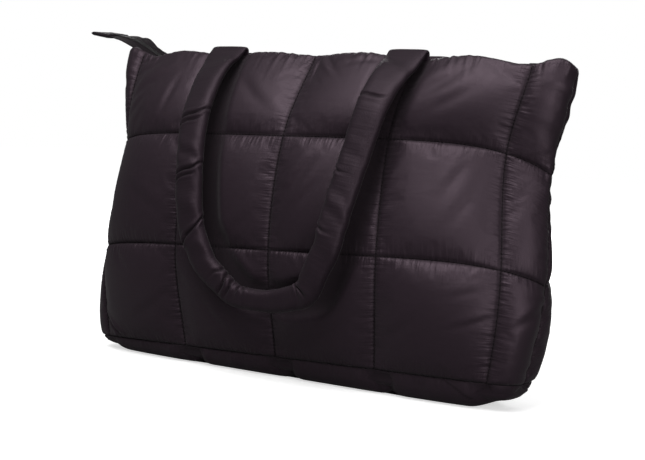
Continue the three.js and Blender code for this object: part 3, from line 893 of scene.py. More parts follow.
def new_group(name):
    """Builds a shared node group."""
    inputs, outputs, fill = NODE_GROUPS[name]
    group = bpy.data.node_groups.new(name, "ShaderNodeTree")
    for title, (kind, value) in inputs.items():
        socket = group.interface.new_socket(title, in_out="INPUT", socket_type="NodeSocket" + kind)
        socket.default_value = value
    for title, kind in outputs.items():
        group.interface.new_socket(title, in_out="OUTPUT", socket_type="NodeSocket" + kind)
    enter, leave = group.nodes.new("NodeGroupInput"), group.nodes.new("NodeGroupOutput")
    fill(group, enter.outputs, leave.inputs)
    return group


def use_group(tree, name, links):
    """Places a shared node group, which is built at its first use."""
    group = bpy.data.node_groups.get(name) or new_group(name)
    return add_node(tree, "ShaderNodeGroup", links, node_tree=group).outputs


def start_material(name):
    """A new material, with its node tree and its shader."""
    material = bpy.data.materials.new(name)
    material.use_nodes = True
    return material, material.node_tree, material.node_tree.nodes["Principled BSDF"]


# Painted shade in seams, creases and handle dents: how far the cloth goes to the shade colour, that colour,
# and how much duller it is
SEAM_SHADE_SHARE, SEAM_SHADE_COLOR, SEAM_DULL = 0.97, (0.0012, 0.0009, 0.0011, 1), 0.4
WEAVE_STRENGTH = 0.6
SATIN_TINT = (1.0, 0.76, 0.91, 1)
SHEEN_ROUGHNESS = 0.45


def cloth_material(name, color, rough, thread, drift=0.25, sheen=0.06, crinkle=0.0, weave=0.00004,
                   shine=0.55):
    """Dyed cloth with a weave that follows the piece's own UV map, in metres."""
    if name in bpy.data.materials:
        return bpy.data.materials[name]
    material, tree, shader = start_material(name)
    attribute = lambda label: add_node(tree, "ShaderNodeAttribute", attribute_name=label).outputs["Fac"]
    place = add_node(tree, "ShaderNodeUVMap", uv_map="cloth").outputs[0]
    tone = use_group(tree, "dyed_tone", {
        "Place": place, "Color": (*color, 1), "Roughness": rough, "Drift": drift})
    seam = attribute("in_seam")
    threads = use_group(tree, "plain_weave", {"Place": place, "Thread": thread})
    bump = add_node(tree, "ShaderNodeBump", {
        "Height": threads["Height"], "Distance": weave, "Strength": WEAVE_STRENGTH})
    if crinkle:
        small = use_group(tree, "nylon_crinkle", {
            "Place": place, "Beside upright seam": attribute("beside_upright"),
            "Beside level seam": attribute("beside_level")})
        bump = add_node(tree, "ShaderNodeBump", {
            "Height": small["Height"], "Distance": crinkle, "Strength": 1.0,
            "Normal": bump.outputs["Normal"]})
    # Painted shade: where the seam attribute is high, the colour is mixed towards the shade colour and the
    # gloss is dulled
    shade_share = math_node(tree, "MULTIPLY", seam, SEAM_SHADE_SHARE)
    feed(tree, shader, {
        "Base Color": mix_colors(tree, shade_share, tone["Color"], SEAM_SHADE_COLOR),
        "Roughness": math_node(tree, "MULTIPLY_ADD", seam, SEAM_DULL, tone["Roughness"]),
        "Normal": bump.outputs["Normal"],
        "Specular IOR Level": shine,
        "Specular Tint": SATIN_TINT,
        "Sheen Weight": sheen,
        "Sheen Roughness": SHEEN_ROUGHNESS,
    })
    return material


def plain_material(name, color, rough, metallic=0.0, shine=0.5):
    """Moulded plastic or metal with a little uneven gloss, on Object coordinates."""
    if name in bpy.data.materials:
        return bpy.data.materials[name]
    material, tree, shader = start_material(name)
    place = add_node(tree, "ShaderNodeTexCoord").outputs["Object"]
    tone = use_group(tree, "dyed_tone", {
        "Place": place, "Color": (*color, 1), "Roughness": rough, "Drift": PLAIN_DRIFT})
    feed(tree, shader, {
        "Base Color": tone["Color"],
        "Roughness": tone["Roughness"],
        "Metallic": metallic,
        "Specular IOR Level": shine,
    })
    return material


def thread_material(scene):
    """The thread of every stitch."""
    return plain_material("seam_thread", scene.tote_finish.thread, rough=0.7, shine=0.12)


# Quilted panels

# The rolled top edge's radius, and the height of the row that it ends
TOP_ROUND, TOP_ROW_HEIGHT = 4, 80
PANEL_UV = (0.3, 0.0)

# How far from a seam its crinkles reach, how fast they fade, and how much painted shade cloth takes under
# and beside a handle
CRINKLE_REACH, CRINKLE_FADE = 9.0, 1.5
PRESS_SHADE = 0.8


def hold_sides(points, row, side):
    """Keeps a panel on its own side of the side seams."""
    limit = section("seam_y", row) + side * GAP / 2
    points[..., 1] = (np.minimum if side == FRONT else np.maximum)(points[..., 1], limit)
    return points


def panel_points(along, row, side, quilt):
    """The padded outer face over a grid of cloth places, before it settles."""
    puff = quilt.puff / MM
    swell = puff * swell_across(along) * swell_up(row, puff)
    edge = np.maximum(0, TOP_ROUND - (TOP_ROW - row) * TOP_ROW_HEIGHT)
    swell = swell - (TOP_ROUND - np.sqrt(np.maximum(0, TOP_ROUND ** 2 - edge ** 2)))
    points = cloth(along, row, side) + cloth_normal(along, row, side) * swell[..., None]
    return hold_sides(points, row, side)


def build_panel(scene, name, node, side):
    """One quilted panel: a sheet that settles under its wadding, with puckers, a lining and a rim."""
    quilt, finish = scene.tote_quilt, scene.tote_finish
    outward = slice(None, None, 1 if side == FRONT else -1)
    along, row = panel_grid(1)
    upright = np.isin(np.round(along, 6), UPRIGHT_SEAMS)
    level = np.abs(row - np.round(row)) < SAME
    shift = np.zeros((*along.shape, 3))
    start = panel_points(along, row, side, quilt)
    shift = settle_padding(start[:, outward], (upright | level)[:, outward], quilt)[:, outward] - start
    shift *= min(1, SETTLE_MOST / np.linalg.norm(shift, axis=-1).max())
    shift = finer(shift, np.flatnonzero(level[:, 0]))
    shift = finer(shift.swapaxes(0, 1), np.flatnonzero(upright[0])).swapaxes(0, 1)
    fine_along, fine_row = panel_grid(2)
    pressed = strap_press(fine_along, fine_row, side)
    outer = panel_points(fine_along, fine_row, side, quilt) + shift
    detail = quilt_detail(fine_along, fine_row, side, quilt, pressed)
    outer += cloth_normal(fine_along, fine_row, side) * detail[..., None]
    outer = hold_sides(outer, fine_row, side)
    lining = hold_sides(cloth(along, row, side) - WALL * cloth_normal(along, row, side), row, side)
    bm = bent_sheet(outer[:, outward])
    outer_count = len(bm.verts)
    inner = add_sheet(bm, lining[:, outward])
    bmesh.ops.reverse_faces(bm, faces=list({face for vert in inner for face in vert.link_faces}))
    bmesh.ops.bridge_loops(bm, edges=open_edges(bm))
    require_closed(bm, name)
    nylon = cloth_material("puffer_nylon", finish.nylon, finish.gloss, thread=0.00045, crinkle=0.0013)
    panel = finish_piece(name, bm, nylon)
    uv = np.concatenate([
        np.stack([a, section("z", r)], axis=-1)[:, outward].reshape(-1, 2)
        for a, r in ((fine_along, fine_row), (along, row))])
    set_corner_uv(panel.data, uv * MM + PANEL_UV)
    near = lambda distance: np.exp(-((distance / CRINKLE_REACH) ** CRINKLE_FADE))
    # The seam attribute carries painted shade in the seams' valleys and where a handle presses the padding
    # in
    fields = {
        "beside_upright": near(beside_upright(fine_along)),
        "beside_level": near(beside_level(fine_row)),
        "in_seam": np.maximum(in_seam(fine_along, fine_row), PRESS_SHADE * pressed),
    }
    for label, grid in fields.items():
        values = np.zeros(len(uv))
        values[:outer_count] = grid[:, outward].ravel()
        set_values(panel.data, label, values)
    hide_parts(node)


class TOTE_OT_panels(bpy.types.Operator):
    """Makes the front and back quilted panels"""

    bl_idname = "tote.panels"
    bl_label = "Quilted panels"

    def execute(self, context):
        build_panel(context.scene, "quilted_front", "front_panel", FRONT)
        build_panel(context.scene, "quilted_back", "back_panel", BACK)
        return {"FINISHED"}


# Base

BASE_RINGS = 26
BASE_UV = 0.4

# Depth of the base's rim in millimetres, the line of painted shade under its seam, and how much duller its
# nylon is
BASE_DEEP = 18
BASE_SEAM_SHADE = {"half": 0.9, "painted_shade": 0.6}
BASE_DULLER = 0.06

# Dents in the base's rim: depth at the upright seams, and how soon they fill along the rim and up it;
# gathers beside some seams; and the crease at its right end, which drifts as it runs down
SEAM_DENT, SEAM_DENT_FILL, RIM_DENT_FILL = 4.5, 1.4, 5
BASE_GATHERS = {"seams": (-115, 0, 115), "beside": 12, "half": 7, "depth": 5, "lift": 3.5}
BASE_CREASE = {"along": 231, "drift": 9, "half": 2.0, "depth": 2.6, "ends": 0.3}

# Puckers under the base seam and slower waves in the rim: height, length, and reach or seed
BASE_PUCKERS = {"height": 0.55, "length": 5.5, "reach": 6, "seed": 900}
BASE_WAVES = {"height": 0.5, "length": 31, "seed": 905, "fill": 4}

# The inside of the base from its bottom up: how far out from the seam, and share of the seam's height
BASE_TRAY = ((-20, 0.3), (-9, 0.4), (-WALL, 0.62), (-WALL, 1.0))
TRAY_RIM_ABOVE = 0.009


def base_loop(steps):
    """Places round the base seam: along and side of each, anticlockwise from the left side seam."""
    front = cell_places(steps)
    along = np.concatenate([front[:-1], front[::-1][:-1]])
    side = np.concatenate([np.full(len(front) - 1, FRONT), np.full(len(front) - 1, BACK)])
    return along, side


def base_rings(along, seam, out):
    """Rings of the base's outer face from its seam to the floor, and the painted shade at each place of
    them.
    """
    rows = range(len(BASE_PROFILE["out"]))
    at = np.linspace(0, len(rows) - 1, BASE_RINGS)
    profile = zip(*(read_table(rows, BASE_PROFILE[name], at) for name in ("out", "share")))
    full = np.minimum(1, swell_across(along) * SEAM_DENT_FILL)
    gather = np.max([
        np.exp(-(((along - place - BASE_GATHERS["beside"]) / BASE_GATHERS["half"]) ** 2))
        for place in BASE_GATHERS["seams"]], axis=0)
    top = seam[:, 2] - GAP
    travel = travel_along(seam[:, :2])
    rings, shade_lines = [], []
    for reach, share in profile:
        below = (1 - share) * BASE_DEEP
        drift = BASE_CREASE["drift"] * (1 - share) ** 2
        line = (along - BASE_CREASE["along"] - drift) / BASE_CREASE["half"]
        corner = np.exp(-line ** 2) * (share > BASE_CREASE["ends"])
        # Painted shade along the crease at the right end and in a line just under the seam
        shade_lines.append(np.maximum(corner, BASE_SEAM_SHADE["painted_shade"] * np.exp(-((below / BASE_SEAM_SHADE["half"]) ** 2))))
        dent = SEAM_DENT * (1 - full) + BASE_GATHERS["depth"] * gather
        dent = dent * np.clip(share * (1 - share) * RIM_DENT_FILL, 0, 1) + BASE_CREASE["depth"] * corner
        waves = BASE_PUCKERS["height"] * seam_puckers(
            np.full_like(along, below), travel, BASE_PUCKERS["length"], BASE_PUCKERS["reach"],
            BASE_PUCKERS["seed"])
        pull = BASE_WAVES["height"] * ripple(travel, BASE_WAVES["length"], BASE_WAVES["seed"])
        pull = pull * np.clip(share * (1 - share) * BASE_WAVES["fill"], 0, 1)
        place = seam[:, :2] + out * (reach - dent + waves + pull)[:, None]
        blend = (np.abs(place[:, 0]) - BASE_END["from"]) / (BASE_END["to"] - BASE_END["from"])
        low = np.maximum(top * BASE_END["lift"] * ease(blend), BASE_GATHERS["lift"] * gather)
        rings.append(np.column_stack([place, low + (top - low) * share]))
    rings.append(seam * (*BASE_FLAT, 0))
    return rings, shade_lines


def build_base(scene):
    """The padded base: a soft rim under the panels that rests on the floor, and a plain pad inside."""
    along, side = base_loop(2)
    seam = np.where((side == FRONT)[:, None], cloth(along, 0, FRONT), cloth(along, 0, BACK))
    run = np.roll(seam, -1, axis=0) - np.roll(seam, 1, axis=0)
    out = unit(np.stack([run[:, 1], -run[:, 0]], axis=1))
    rings, shade_lines = base_rings(along, seam, out)
    tray = [np.column_stack([seam[:, :2] + out * reach, (seam[:, 2] - GAP) * share])
            for reach, share in BASE_TRAY]
    joined = lambda lines: np.stack([np.concatenate([line, line[:1]]) for line in lines])
    bm = bent_sheet(joined(rings[::-1]), closed=True)
    add_sheet(bm, joined(tray))
    bmesh.ops.remove_doubles(bm, verts=bm.verts, dist=MERGE)
    tops = [edge for edge in open_edges(bm) if min(vert.co.z for vert in edge.verts) > TRAY_RIM_ABOVE]
    bmesh.ops.bridge_loops(bm, edges=tops)
    close_ends(bm, triangles=True)
    require_closed(bm, "padded_base")
    finish = scene.tote_finish
    nylon = cloth_material(
        "base_nylon", finish.nylon, finish.gloss + BASE_DULLER, thread=0.0006, weave=0.00008)
    base = finish_piece("padded_base", bm, nylon)
    place = places_of(base.data)
    set_corner_uv(base.data, place[:, [0, 1]] + place[:, [2, 2]] * (0, 1) + BASE_UV)
    # Painted shade under the base seam and along the crease at its right end
    painted_shade = np.zeros(len(place))
    painted_shade[:len(rings) * len(along)] = np.concatenate([np.zeros(len(along)), *shade_lines[::-1]])
    set_values(base.data, "in_seam", painted_shade)
    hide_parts("base_rim", "base_pad")


class TOTE_OT_base(bpy.types.Operator):
    """Makes the padded base that the bag stands on"""

    bl_idname = "tote.base"
    bl_label = "Padded base"

    def execute(self, context):
        build_base(context.scene)
        return {"FINISHED"}


# Handles

# Steps along a handle's table, and how many times its line and its twist are evened out
LINE_STEPS = 420
LINE_SMOOTHING, TWIST_SMOOTHING = 6, 40

# Height of the quilt that the handles are laid on, how deep their ends are sewn in, and their clearance
LAID_ON_PUFF = 10
SEWN_DEEP, EDGE_CLEAR = 6.0, 0.5

# A handle's section: how square it is, and the waist behind a thick one, by the thickness that it needs,
# its share, its start and its depth
HANDLE_SQUARE = 3.4
WAIST_THICK, WAIST_FROM, WAIST_SHARE, WAIST_START, WAIST_DEPTH = 6, 0.6, 0.45, 0.25, 1.3

# Length over which a handle's relief fades to its ends, and the least radius that it is set against
HANDLE_TAPER, HANDLE_CORE = 40, 6.0

# The closing seam behind a handle: its puckers' length, reach and slant, how far it draws the cloth in, and
# its half width
CLOSING_SEAM = {"length": 5.5, "reach": 9, "slant": 0.35, "draw": 1.6, "half": 3.0}

# Slow waves along a handle: height, length, how far they slant round it, and their shares all round and
# on its outer face
HANDLE_WAVES = {"height": 0.5, "length": 34, "slant": 60, "round": 0.6, "outside": 0.4}

# Any crease across a handle: how its slant is taken round the tube and how it wavers there, how its groove
# fades, and its ridges and its line of painted shade as shares of its half width
CREASE = {
    "slant": 4, "waver": 0.5, "turn": 30, "shift": 90, "fade": 1.5, "ridge": 0.35, "beside": 3, "wide": 2,
    "painted_shade": 0.9}

# Crinkles beside a handle's closing seam, the tube's girth for its weave, and how much duller its nylon is
HANDLE_CRINKLE = {"least": 0.22, "reach": 10}
HANDLE_GIRTH, HANDLE_DULLER = 1.54, 0.03
HANDLE_UV = (0.2, 0.05)

# Points across a handle's end and round its fold
END_POINTS, FOLD_POINTS = 9, 12

# Creases across a handle: share of its length from the left end, slant in millimetres of length across half
# its width, place and spread round the tube in turns (0 is the outer face, positive to the outside of the
# loop), half width of the line, and depth as a share of a full crease
FRONT_CREASES = (
    (0.164, 6.5, -0.02, 0.22, 1.1, 1.0),
    (0.175, 5.5, 0.05, 0.15, 0.9, 0.7),
    (0.2495, 6.5, -0.02, 0.20, 1.1, 1.0),
    (0.2585, 5.5, 0.05, 0.13, 0.9, 0.7),
    (0.343, 13, -0.04, 0.22, 1.2, 1.0),
    (0.415, -4, -0.14, 0.12, 1.1, 0.8),
    (0.437, 5, -0.10, 0.16, 1.2, 1.0),
    (0.449, 3, -0.10, 0.14, 1.1, 0.9),
    (0.463, -3, -0.14, 0.12, 1.2, 0.9),
    (0.479, 2, -0.16, 0.10, 1.1, 0.7),
    (0.582, -6, -0.14, 0.12, 1.2, 1.0),
    (0.592, 6, -0.12, 0.14, 1.2, 1.0),
    (0.684, -5, -0.14, 0.12, 1.1, 0.9),
    (0.768, -3, -0.14, 0.11, 1.0, 0.8),
    (0.883, 2, -0.08, 0.16, 1.0, 0.7),
)
BACK_CREASES = (
    (0.14, -6, 0.0, 0.20, 1.2, 0.8),
    (0.28, 6, -0.02, 0.20, 1.2, 0.9),
    (0.38, -8, -0.06, 0.18, 1.2, 0.9),
    (0.44, 3, -0.12, 0.14, 1.1, 0.8),
    (0.47, -2, -0.10, 0.12, 1.1, 0.7),
    (0.53, 3, -0.12, 0.14, 1.1, 0.8),
    (0.58, -4, -0.10, 0.16, 1.2, 0.9),
    (0.71, -7, 0.0, 0.20, 1.2, 0.9),
    (0.86, 5, 0.0, 0.20, 1.2, 0.7),
)


def handle_fold(side, hand):
    """A handle's sewn end and its fold over the top edge, and how far out the fold stands."""
    x = hand * HANDLE_LINE["left" if hand == LEFT else "right"][0]
    reach = np.linspace(-0.5, 0.5, END_POINTS) * HANDLE_END["width"]
    edge_y = float(cloth(x, TOP_ROW, side)[1])
    edge_z = float(cloth(x + reach, TOP_ROW, side)[:, 2].max()) + EDGE_CLEAR
    turn = np.linspace(0, np.pi, FOLD_POINTS)[1:-1]
    fold = np.column_stack([
        np.full_like(turn, x), edge_y + side * STRAP_FOLD * (1 - np.cos(turn)),
        edge_z + STRAP_CLEAR + STRAP_FOLD * np.sin(turn)])
    return np.concatenate([[[x, edge_y, edge_z - SEWN_DEEP]], fold]), edge_y + side * 2 * STRAP_FOLD


def bend_at_gathers(x, z):
    """Draws the front handle's line straight between its gathers, which it rounds a little."""
    run = travel_along(np.column_stack([x, z]))
    nearest = [np.argmin(np.hypot(x - a, z - b)) for a, b in zip(FRONT_BENDS["x"], FRONT_BENDS["z"])]
    corners = run[[0, *nearest, -1]]
    bent = []
    for line, name in ((x, "x"), (z, "z")):
        straight = np.interp(run, corners, [line[0], *FRONT_BENDS[name], line[-1]])
        bent.append(smooth_line(straight, BEND_ROUNDING))
    return bent


def handle_line(side):
    """A handle's line from one sewn end to the other, with its width and thickness, in millimetres."""
    count = len(HANDLE_LINE["z"])
    both = lambda first, last: list(first) + list(last[-2::-1])
    at = np.linspace(0, 2 * count - 2, LINE_STEPS)
    read = lambda values: read_table(range(2 * count - 1), values, at)
    x = read(both([-x for x in HANDLE_LINE["left"]], HANDLE_LINE["right"]))
    z, width, thick = (read(both(HANDLE_LINE[n], HANDLE_LINE[n])) for n in ("z", "width", "thick"))
    if side == FRONT:
        x, z = bend_at_gathers(x, z)
    (left, left_out), (right, right_out) = handle_fold(side, LEFT), handle_fold(side, RIGHT)
    row = row_at(x, z, side)
    puff = LAID_ON_PUFF * np.where(row > TOP_ROW - TOP_FULL, swell_up(row, LAID_ON_PUFF), 1)
    y = face_y(x, z, side) + side * (puff + STRAP_CLEAR + thick / 2)
    y = side * np.maximum(side * y, side * np.where(x < 0, left_out, right_out))
    points = np.concatenate([left, np.column_stack([x, y, z]), right[::-1]])
    ended = lambda column, end: np.concatenate([np.full(len(left), end), column, np.full(len(right), end)])
    return points, ended(width, HANDLE_END["width"]), ended(thick, HANDLE_END["thick"])


def even_line(points, columns, step):
    """The same line with points an even step apart, and its columns read at them."""
    run = travel_along(points)
    at = np.linspace(0, run[-1], int(round(run[-1] / step)) + 1)
    line = np.column_stack([np.interp(at, run, points[:, k]) for k in range(3)])
    return at, smooth_line(line, LINE_SMOOTHING), [np.interp(at, run, column) for column in columns]


def handle_axes(line, side):
    """Directions across a handle and through it, at each point of its line."""
    run = unit(np.gradient(line, axis=0))
    across = np.cross(run, (0.0, float(side), 0.0))
    across[:, 1] = 0
    across = unit(smooth_line(across, TWIST_SMOOTHING))
    return across, unit(np.cross(across, run))


def handle_section(angle, half_width, half_thick):
    """A handle's squarish section with a waist behind: reach across and through at each angle round it."""
    rounded = lambda wave: np.sign(wave) * np.abs(wave) ** (2 / HANDLE_SQUARE)
    wide, deep = rounded(np.sin(angle)), rounded(np.cos(angle))
    waist = np.clip(half_thick / WAIST_THICK - WAIST_FROM, 0, 1) * WAIST_SHARE
    behind = np.clip(WAIST_START - deep, 0, 1 + WAIST_START) / (1 + WAIST_START)
    wide = half_width * wide * (1 - waist * behind)
    return wide, half_thick * np.where(deep < 0, 1 - waist * WAIST_DEPTH, 1.0) * deep


def handle_relief(place, around, beside, full, creases, settings, seed):
    """Height of a handle's puckers, waves and creases in millimetres, and the painted shade in its creases.
    """
    slanted = place + CLOSING_SEAM["slant"] * beside * np.sign(around)
    puckers = seam_puckers(beside, slanted, CLOSING_SEAM["length"], CLOSING_SEAM["reach"], seed)
    lift = settings.pucker / MM * puckers * full
    waves = ripple(place + HANDLE_WAVES["slant"] * around, HANDLE_WAVES["length"], seed + 20)
    outside = HANDLE_WAVES["round"] + HANDLE_WAVES["outside"] * np.cos(2 * np.pi * around)
    lift += HANDLE_WAVES["height"] * full * waves * outside
    shade_lines = np.zeros_like(place)
    for share, slant, middle, spread, half, depth in creases:
        waver = np.sin(around * CREASE["turn"] + share * CREASE["shift"])
        bent = CREASE["slant"] * slant * around + CREASE["waver"] * waver
        off = place - share * place.max() - bent
        mask = np.exp(-(((around - middle) / spread) ** 4))
        ridge = np.exp(-(((np.abs(off) - CREASE["beside"] * half) / (CREASE["wide"] * half)) ** 2))
        groove = np.exp(-np.abs(off / half) ** CREASE["fade"]) - CREASE["ridge"] * ridge
        lift -= settings.crease / MM * depth * mask * groove * full
        # Painted shade along each crease
        shade_lines = np.maximum(shade_lines, depth * mask * np.exp(-((off / (CREASE["painted_shade"] * half)) ** 2)))
    drawn = CLOSING_SEAM["draw"] * np.exp(-((beside / CLOSING_SEAM["half"]) ** 2)) * full
    return lift - drawn, shade_lines


def build_handle(scene, name, node, side, creases, seed):
    """A padded tube that folds over the top edge and hangs down a panel."""
    settings, finish = scene.tote_handles, scene.tote_finish
    points, *columns = handle_line(side)
    at, line, (width, thick) = even_line(points, columns, settings.step / MM)
    across, through = handle_axes(line, side)
    place, around = np.meshgrid(at, np.linspace(-0.5, 0.5, settings.sides + 1), indexing="ij")
    half_width, half_thick = width[:, None] / 2, thick[:, None] / 2
    wide, deep = handle_section(2 * np.pi * around, half_width, half_thick)
    full = ease(np.minimum(place, at[-1] - place) / HANDLE_TAPER)
    beside = (0.5 - np.abs(around)) * math.pi * (half_width + half_thick)
    lift, shade_lines = handle_relief(place, around, beside, full, creases, settings, seed)
    grow = 1 + lift / np.maximum(HANDLE_CORE, np.hypot(wide, deep))
    rings = (line[:, None, :] + across[:, None, :] * (wide * grow)[..., None]
             + through[:, None, :] * (deep * grow)[..., None])
    rings[:, -1] = rings[:, 0]
    bm = bent_sheet(rings, closed=True)
    close_ends(bm, triangles=True)
    require_closed(bm, name)
    nylon = cloth_material(
        "puffer_handle_nylon", finish.shaded_strap, finish.gloss + HANDLE_DULLER, thread=0.00045, crinkle=0.0012,
        shine=0.38)
    handle = finish_piece(name, bm, nylon)
    girth = HANDLE_GIRTH * (width + thick)[:, None]
    uv = np.stack([around * girth, place], axis=-1) * MM + HANDLE_UV
    set_corner_uv(handle.data, uv[:, :-1].reshape(-1, 2))
    near = np.exp(-((beside / HANDLE_CRINKLE["reach"]) ** 2))
    # The seam attribute carries the painted shade along the handle's creases
    fields = {
        "beside_upright": np.maximum(HANDLE_CRINKLE["least"], near),
        "beside_level": np.zeros_like(beside),
        "in_seam": shade_lines,
    }
    for label, grid in fields.items():
        set_values(handle.data, label, grid[:, :-1].ravel())
    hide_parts(node)


class TOTE_OT_handles(bpy.types.Operator):
    """Makes the two padded handles"""

    bl_idname = "tote.handles"
    bl_label = "Handles"

    def execute(self, context):
        build_handle(context.scene, "padded_handle_front", "front_handle", FRONT, FRONT_CREASES, seed=700)
        build_handle(context.scene, "padded_handle_back", "back_handle", BACK, BACK_CREASES, seed=760)
        return {"FINISHED"}


# Stitching

# Where a row of stitches starts, how far a stitch stands out of the cloth as a share of its thread, and the
# height of the rows over the seams
FIRST_STITCH, STITCH_RISE, SEAM_LIFT = 0.4, 0.35, 0.25

# Points along an upright and a level seam, and how far from the cloth's edges the rows end
UPRIGHT_POINTS, LEVEL_POINTS = 240, 420
ROW_END, SIDE_END = 0.03, 1


def lay_stitches(bm, points, normals, settings):
    """Puts a row of stitches along a line of points in millimetres, each a short rounded thread."""
    run = travel_along(points)
    pitch, long, thick = settings.stitch_pitch / MM, settings.stitch / MM, settings.thread / MM
    read = lambda at, columns: np.array([np.interp(at, run, columns[:, k]) for k in range(3)])
    for number in range(int(run[-1] / pitch)):
        start = number * pitch + FIRST_STITCH
        first, last = read(start, points), read(min(start + long, run[-1]), points)
        along = Vector(last - first)
        if along.length < long / 2:
            continue
        along.normalize()
        side = Vector(read(start + long / 2, normals)).normalized().cross(along).normalized()
        up = along.cross(side)
        centre = Vector((first + last) / 2) + up * thick * STITCH_RISE
        bmesh.ops.create_icosphere(
            bm, subdivisions=1, radius=0.5, matrix=placed((side, up, along), centre, (thick, thick, long)))


def build_stitches(scene, name, side):
    """The stitches along all of a panel's quilt seams."""
    rows = np.minimum(np.linspace(0, TOP_ROW, UPRIGHT_POINTS), TOP_ROW - ROW_END)
    along = np.linspace(-PANEL_HALF + SIDE_END, PANEL_HALF - SIDE_END, LEVEL_POINTS)
    lines = [(np.full_like(rows, seam), rows) for seam in UPRIGHT_SEAMS[1:-1]]
    lines += [(along, np.full_like(along, row)) for row in range(1, TOP_ROW)]
    bm = bmesh.new()
    for places, levels in lines:
        normals = cloth_normal(places, levels, side)
        points = hold_sides(cloth(places, levels, side) + normals * SEAM_LIFT, levels, side)
        lay_stitches(bm, points, normals, scene.tote_quilt)
    finish_piece(name, bm, thread_material(scene))


class TOTE_OT_stitching(bpy.types.Operator):
    """Sews the stitches along the quilt seams"""

    bl_idname = "tote.stitching"
    bl_label = "Stitching"

    def execute(self, context):
        build_stitches(context.scene, "stitching_front", FRONT)
        build_stitches(context.scene, "stitching_back", BACK)
        return {"FINISHED"}


# Zip

TAPE_STEPS, TAPE_ACROSS = 361, 15
TAPE_UV = (0.1, 0.1)

# Where a tape starts beside the zip's line, and the waves at its free edge: height, length and slant
TAPE_START = 1.1
TAPE_WAVES = {"height": 0.35, "length": 26, "slant": 9, "seed": 80}

# A tooth's two legs and its head: places beside and over the zip's line, and sizes, where the width and
# thickness are shares of the wire's
TOOTH_POINTS = 600
TOOTH_LEG = {"rise": 0.75, "beside": 0.75, "width": 0.92, "thick": 0.75, "long": 3.5}
TOOTH_HEAD = {"beside": -0.85, "width": 1.25, "thick": 1.0, "long": 2.2}
TOOTH_PHASE = {FRONT: 0.25, BACK: 0.75}

# The tab that wraps the tail's end: length past it, lap over it, half width, half thickness, rounded nose,
# and its stitched lines, from the end of the tape and over its middle
TAB = {"length": 20.0, "lap": 6.0, "half": 16.5, "wrap": 2.3, "nose": 3.0}
TAB_STITCHES = {"lines": (-3.0, -0.5), "over": 2.15, "margin": 1.5, "points": 60}
TAB_LINE = (0.98, 0.99, 1.0)
TAB_UV = 0.5

# How the tab's cloth lies: the dent along its stitches, how it thins and narrows to its nose, its curl, its
# creases, and its points along, round the nose and across
TAB_DENT = {"at": -2.5, "half": 1.2, "depth": 0.35}
TAB_THIN = {"from": 6, "over": 22, "depth": 0.3}
TAB_NARROW = {"from": 4, "over": 24, "share": 0.05}
TAB_CURL = 0.7
TAB_CREASES = {"height": 0.22, "length": 11, "slant": 9, "seed": 33, "over": 12}
TAB_POINTS = {"along": 26, "nose": 7, "across": 41}

# The slider's plates, post, bridge and pull: size, place and rounding of each block
SLIDER_BLOCKS = (
    ((12, 8.5, 1.5), (0, 0, 2.6), 0.6),
    ((12, 8.5, 1.5), (0, 0, -2.6), 0.6),
    ((3, 3, 5.2), (4.5, 0, 0), 0.4),
    ((1.4, 3.4, 1.6), (3.6, 0, 3.9), 0.4),
    ((8.4, 3.4, 1.0), (0.2, 0, 4.6), 0.4),
    ((1.4, 3.4, 1.6), (-3.4, 0, 3.9), 0.4),
    ((22, 6, 1.2), (-13.6, 0, 3.9), 0.5),
)
SLIDER_LINE = (0, 0.004, 0.008)


def zip_points(share):
    """Places, up and across directions and reaches of the zip's line at shares of its table."""
    places = range(len(ZIP_LINE["x"]))
    read = lambda name: read_table(places, ZIP_LINE[name], np.asarray(share) * (len(places) - 1))
    point = np.column_stack([read(name) for name in "xyz"])
    run = np.gradient(point, axis=0)
    up = unit(np.column_stack([run[:, 2], np.zeros(len(run)), -run[:, 0]]))
    tail = np.clip(read("tail"), 0, 1)
    reach = {}
    for side in (FRONT, BACK):
        mouth = side * (face_y(point[:, 0], point[:, 2], side) - point[:, 1]) - WALL - TAPE_CLEAR
        mouth = np.minimum(mouth, TAPE_WIDEST)
        reach[side] = mouth + (TAPE_HALF - mouth) * tail
    roll = np.radians(read("roll"))[:, None]
    level = np.array([0.0, 1.0, 0.0])
    across = level * np.cos(roll) + up * np.sin(roll)
    return point, up * np.cos(roll) - level * np.sin(roll), across, reach


def build_tape(scene, name, node, side):
    """One side of the zip's tape, with a ribbed weave and a slightly curled edge."""
    half = scene.tote_zip.tape_thick / MM / 2
    point, up, aside, reach = zip_points(np.linspace(0, 1, TAPE_STEPS))
    across = np.linspace(0, 1, TAPE_ACROSS)
    travel = travel_along(point)[:, None]
    offset = TAPE_START + (reach[side][:, None] - TAPE_START) * across
    wave = ripple(travel + TAPE_WAVES["slant"] * across, TAPE_WAVES["length"], TAPE_WAVES["seed"] + side)
    wave = TAPE_WAVES["height"] * wave * across ** 2
    top, low = (
        point[:, None, :] + up[:, None, :] * (wave + rise)[..., None]
        + side * aside[:, None, :] * offset[..., None] for rise in (half, -half))
    bm = bent_sheet(wrapped(top, low), closed=True)
    close_ends(bm)
    weave = cloth_material(
        "zip_tape_weave", scene.tote_finish.tape, rough=0.72, thread=0.0007, drift=0.3, sheen=0.04,
        weave=0.00025, shine=0.2)
    tape = finish_piece(name, bm, weave)
    uv = np.stack([np.concatenate([offset, offset[:, ::-1]], axis=1),
                   np.repeat(travel, 2 * TAPE_ACROSS, axis=1)], axis=-1)
    set_corner_uv(tape.data, uv.reshape(-1, 2) * MM + TAPE_UV)
    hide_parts(node)


def add_wire(bm, axes, centre, size):
    """Adds a six-sided wire along the last of its axes."""
    bmesh.ops.create_cone(
        bm, cap_ends=True, segments=6, radius1=0.5, radius2=0.5, depth=1.0,
        matrix=placed(axes, centre, size))


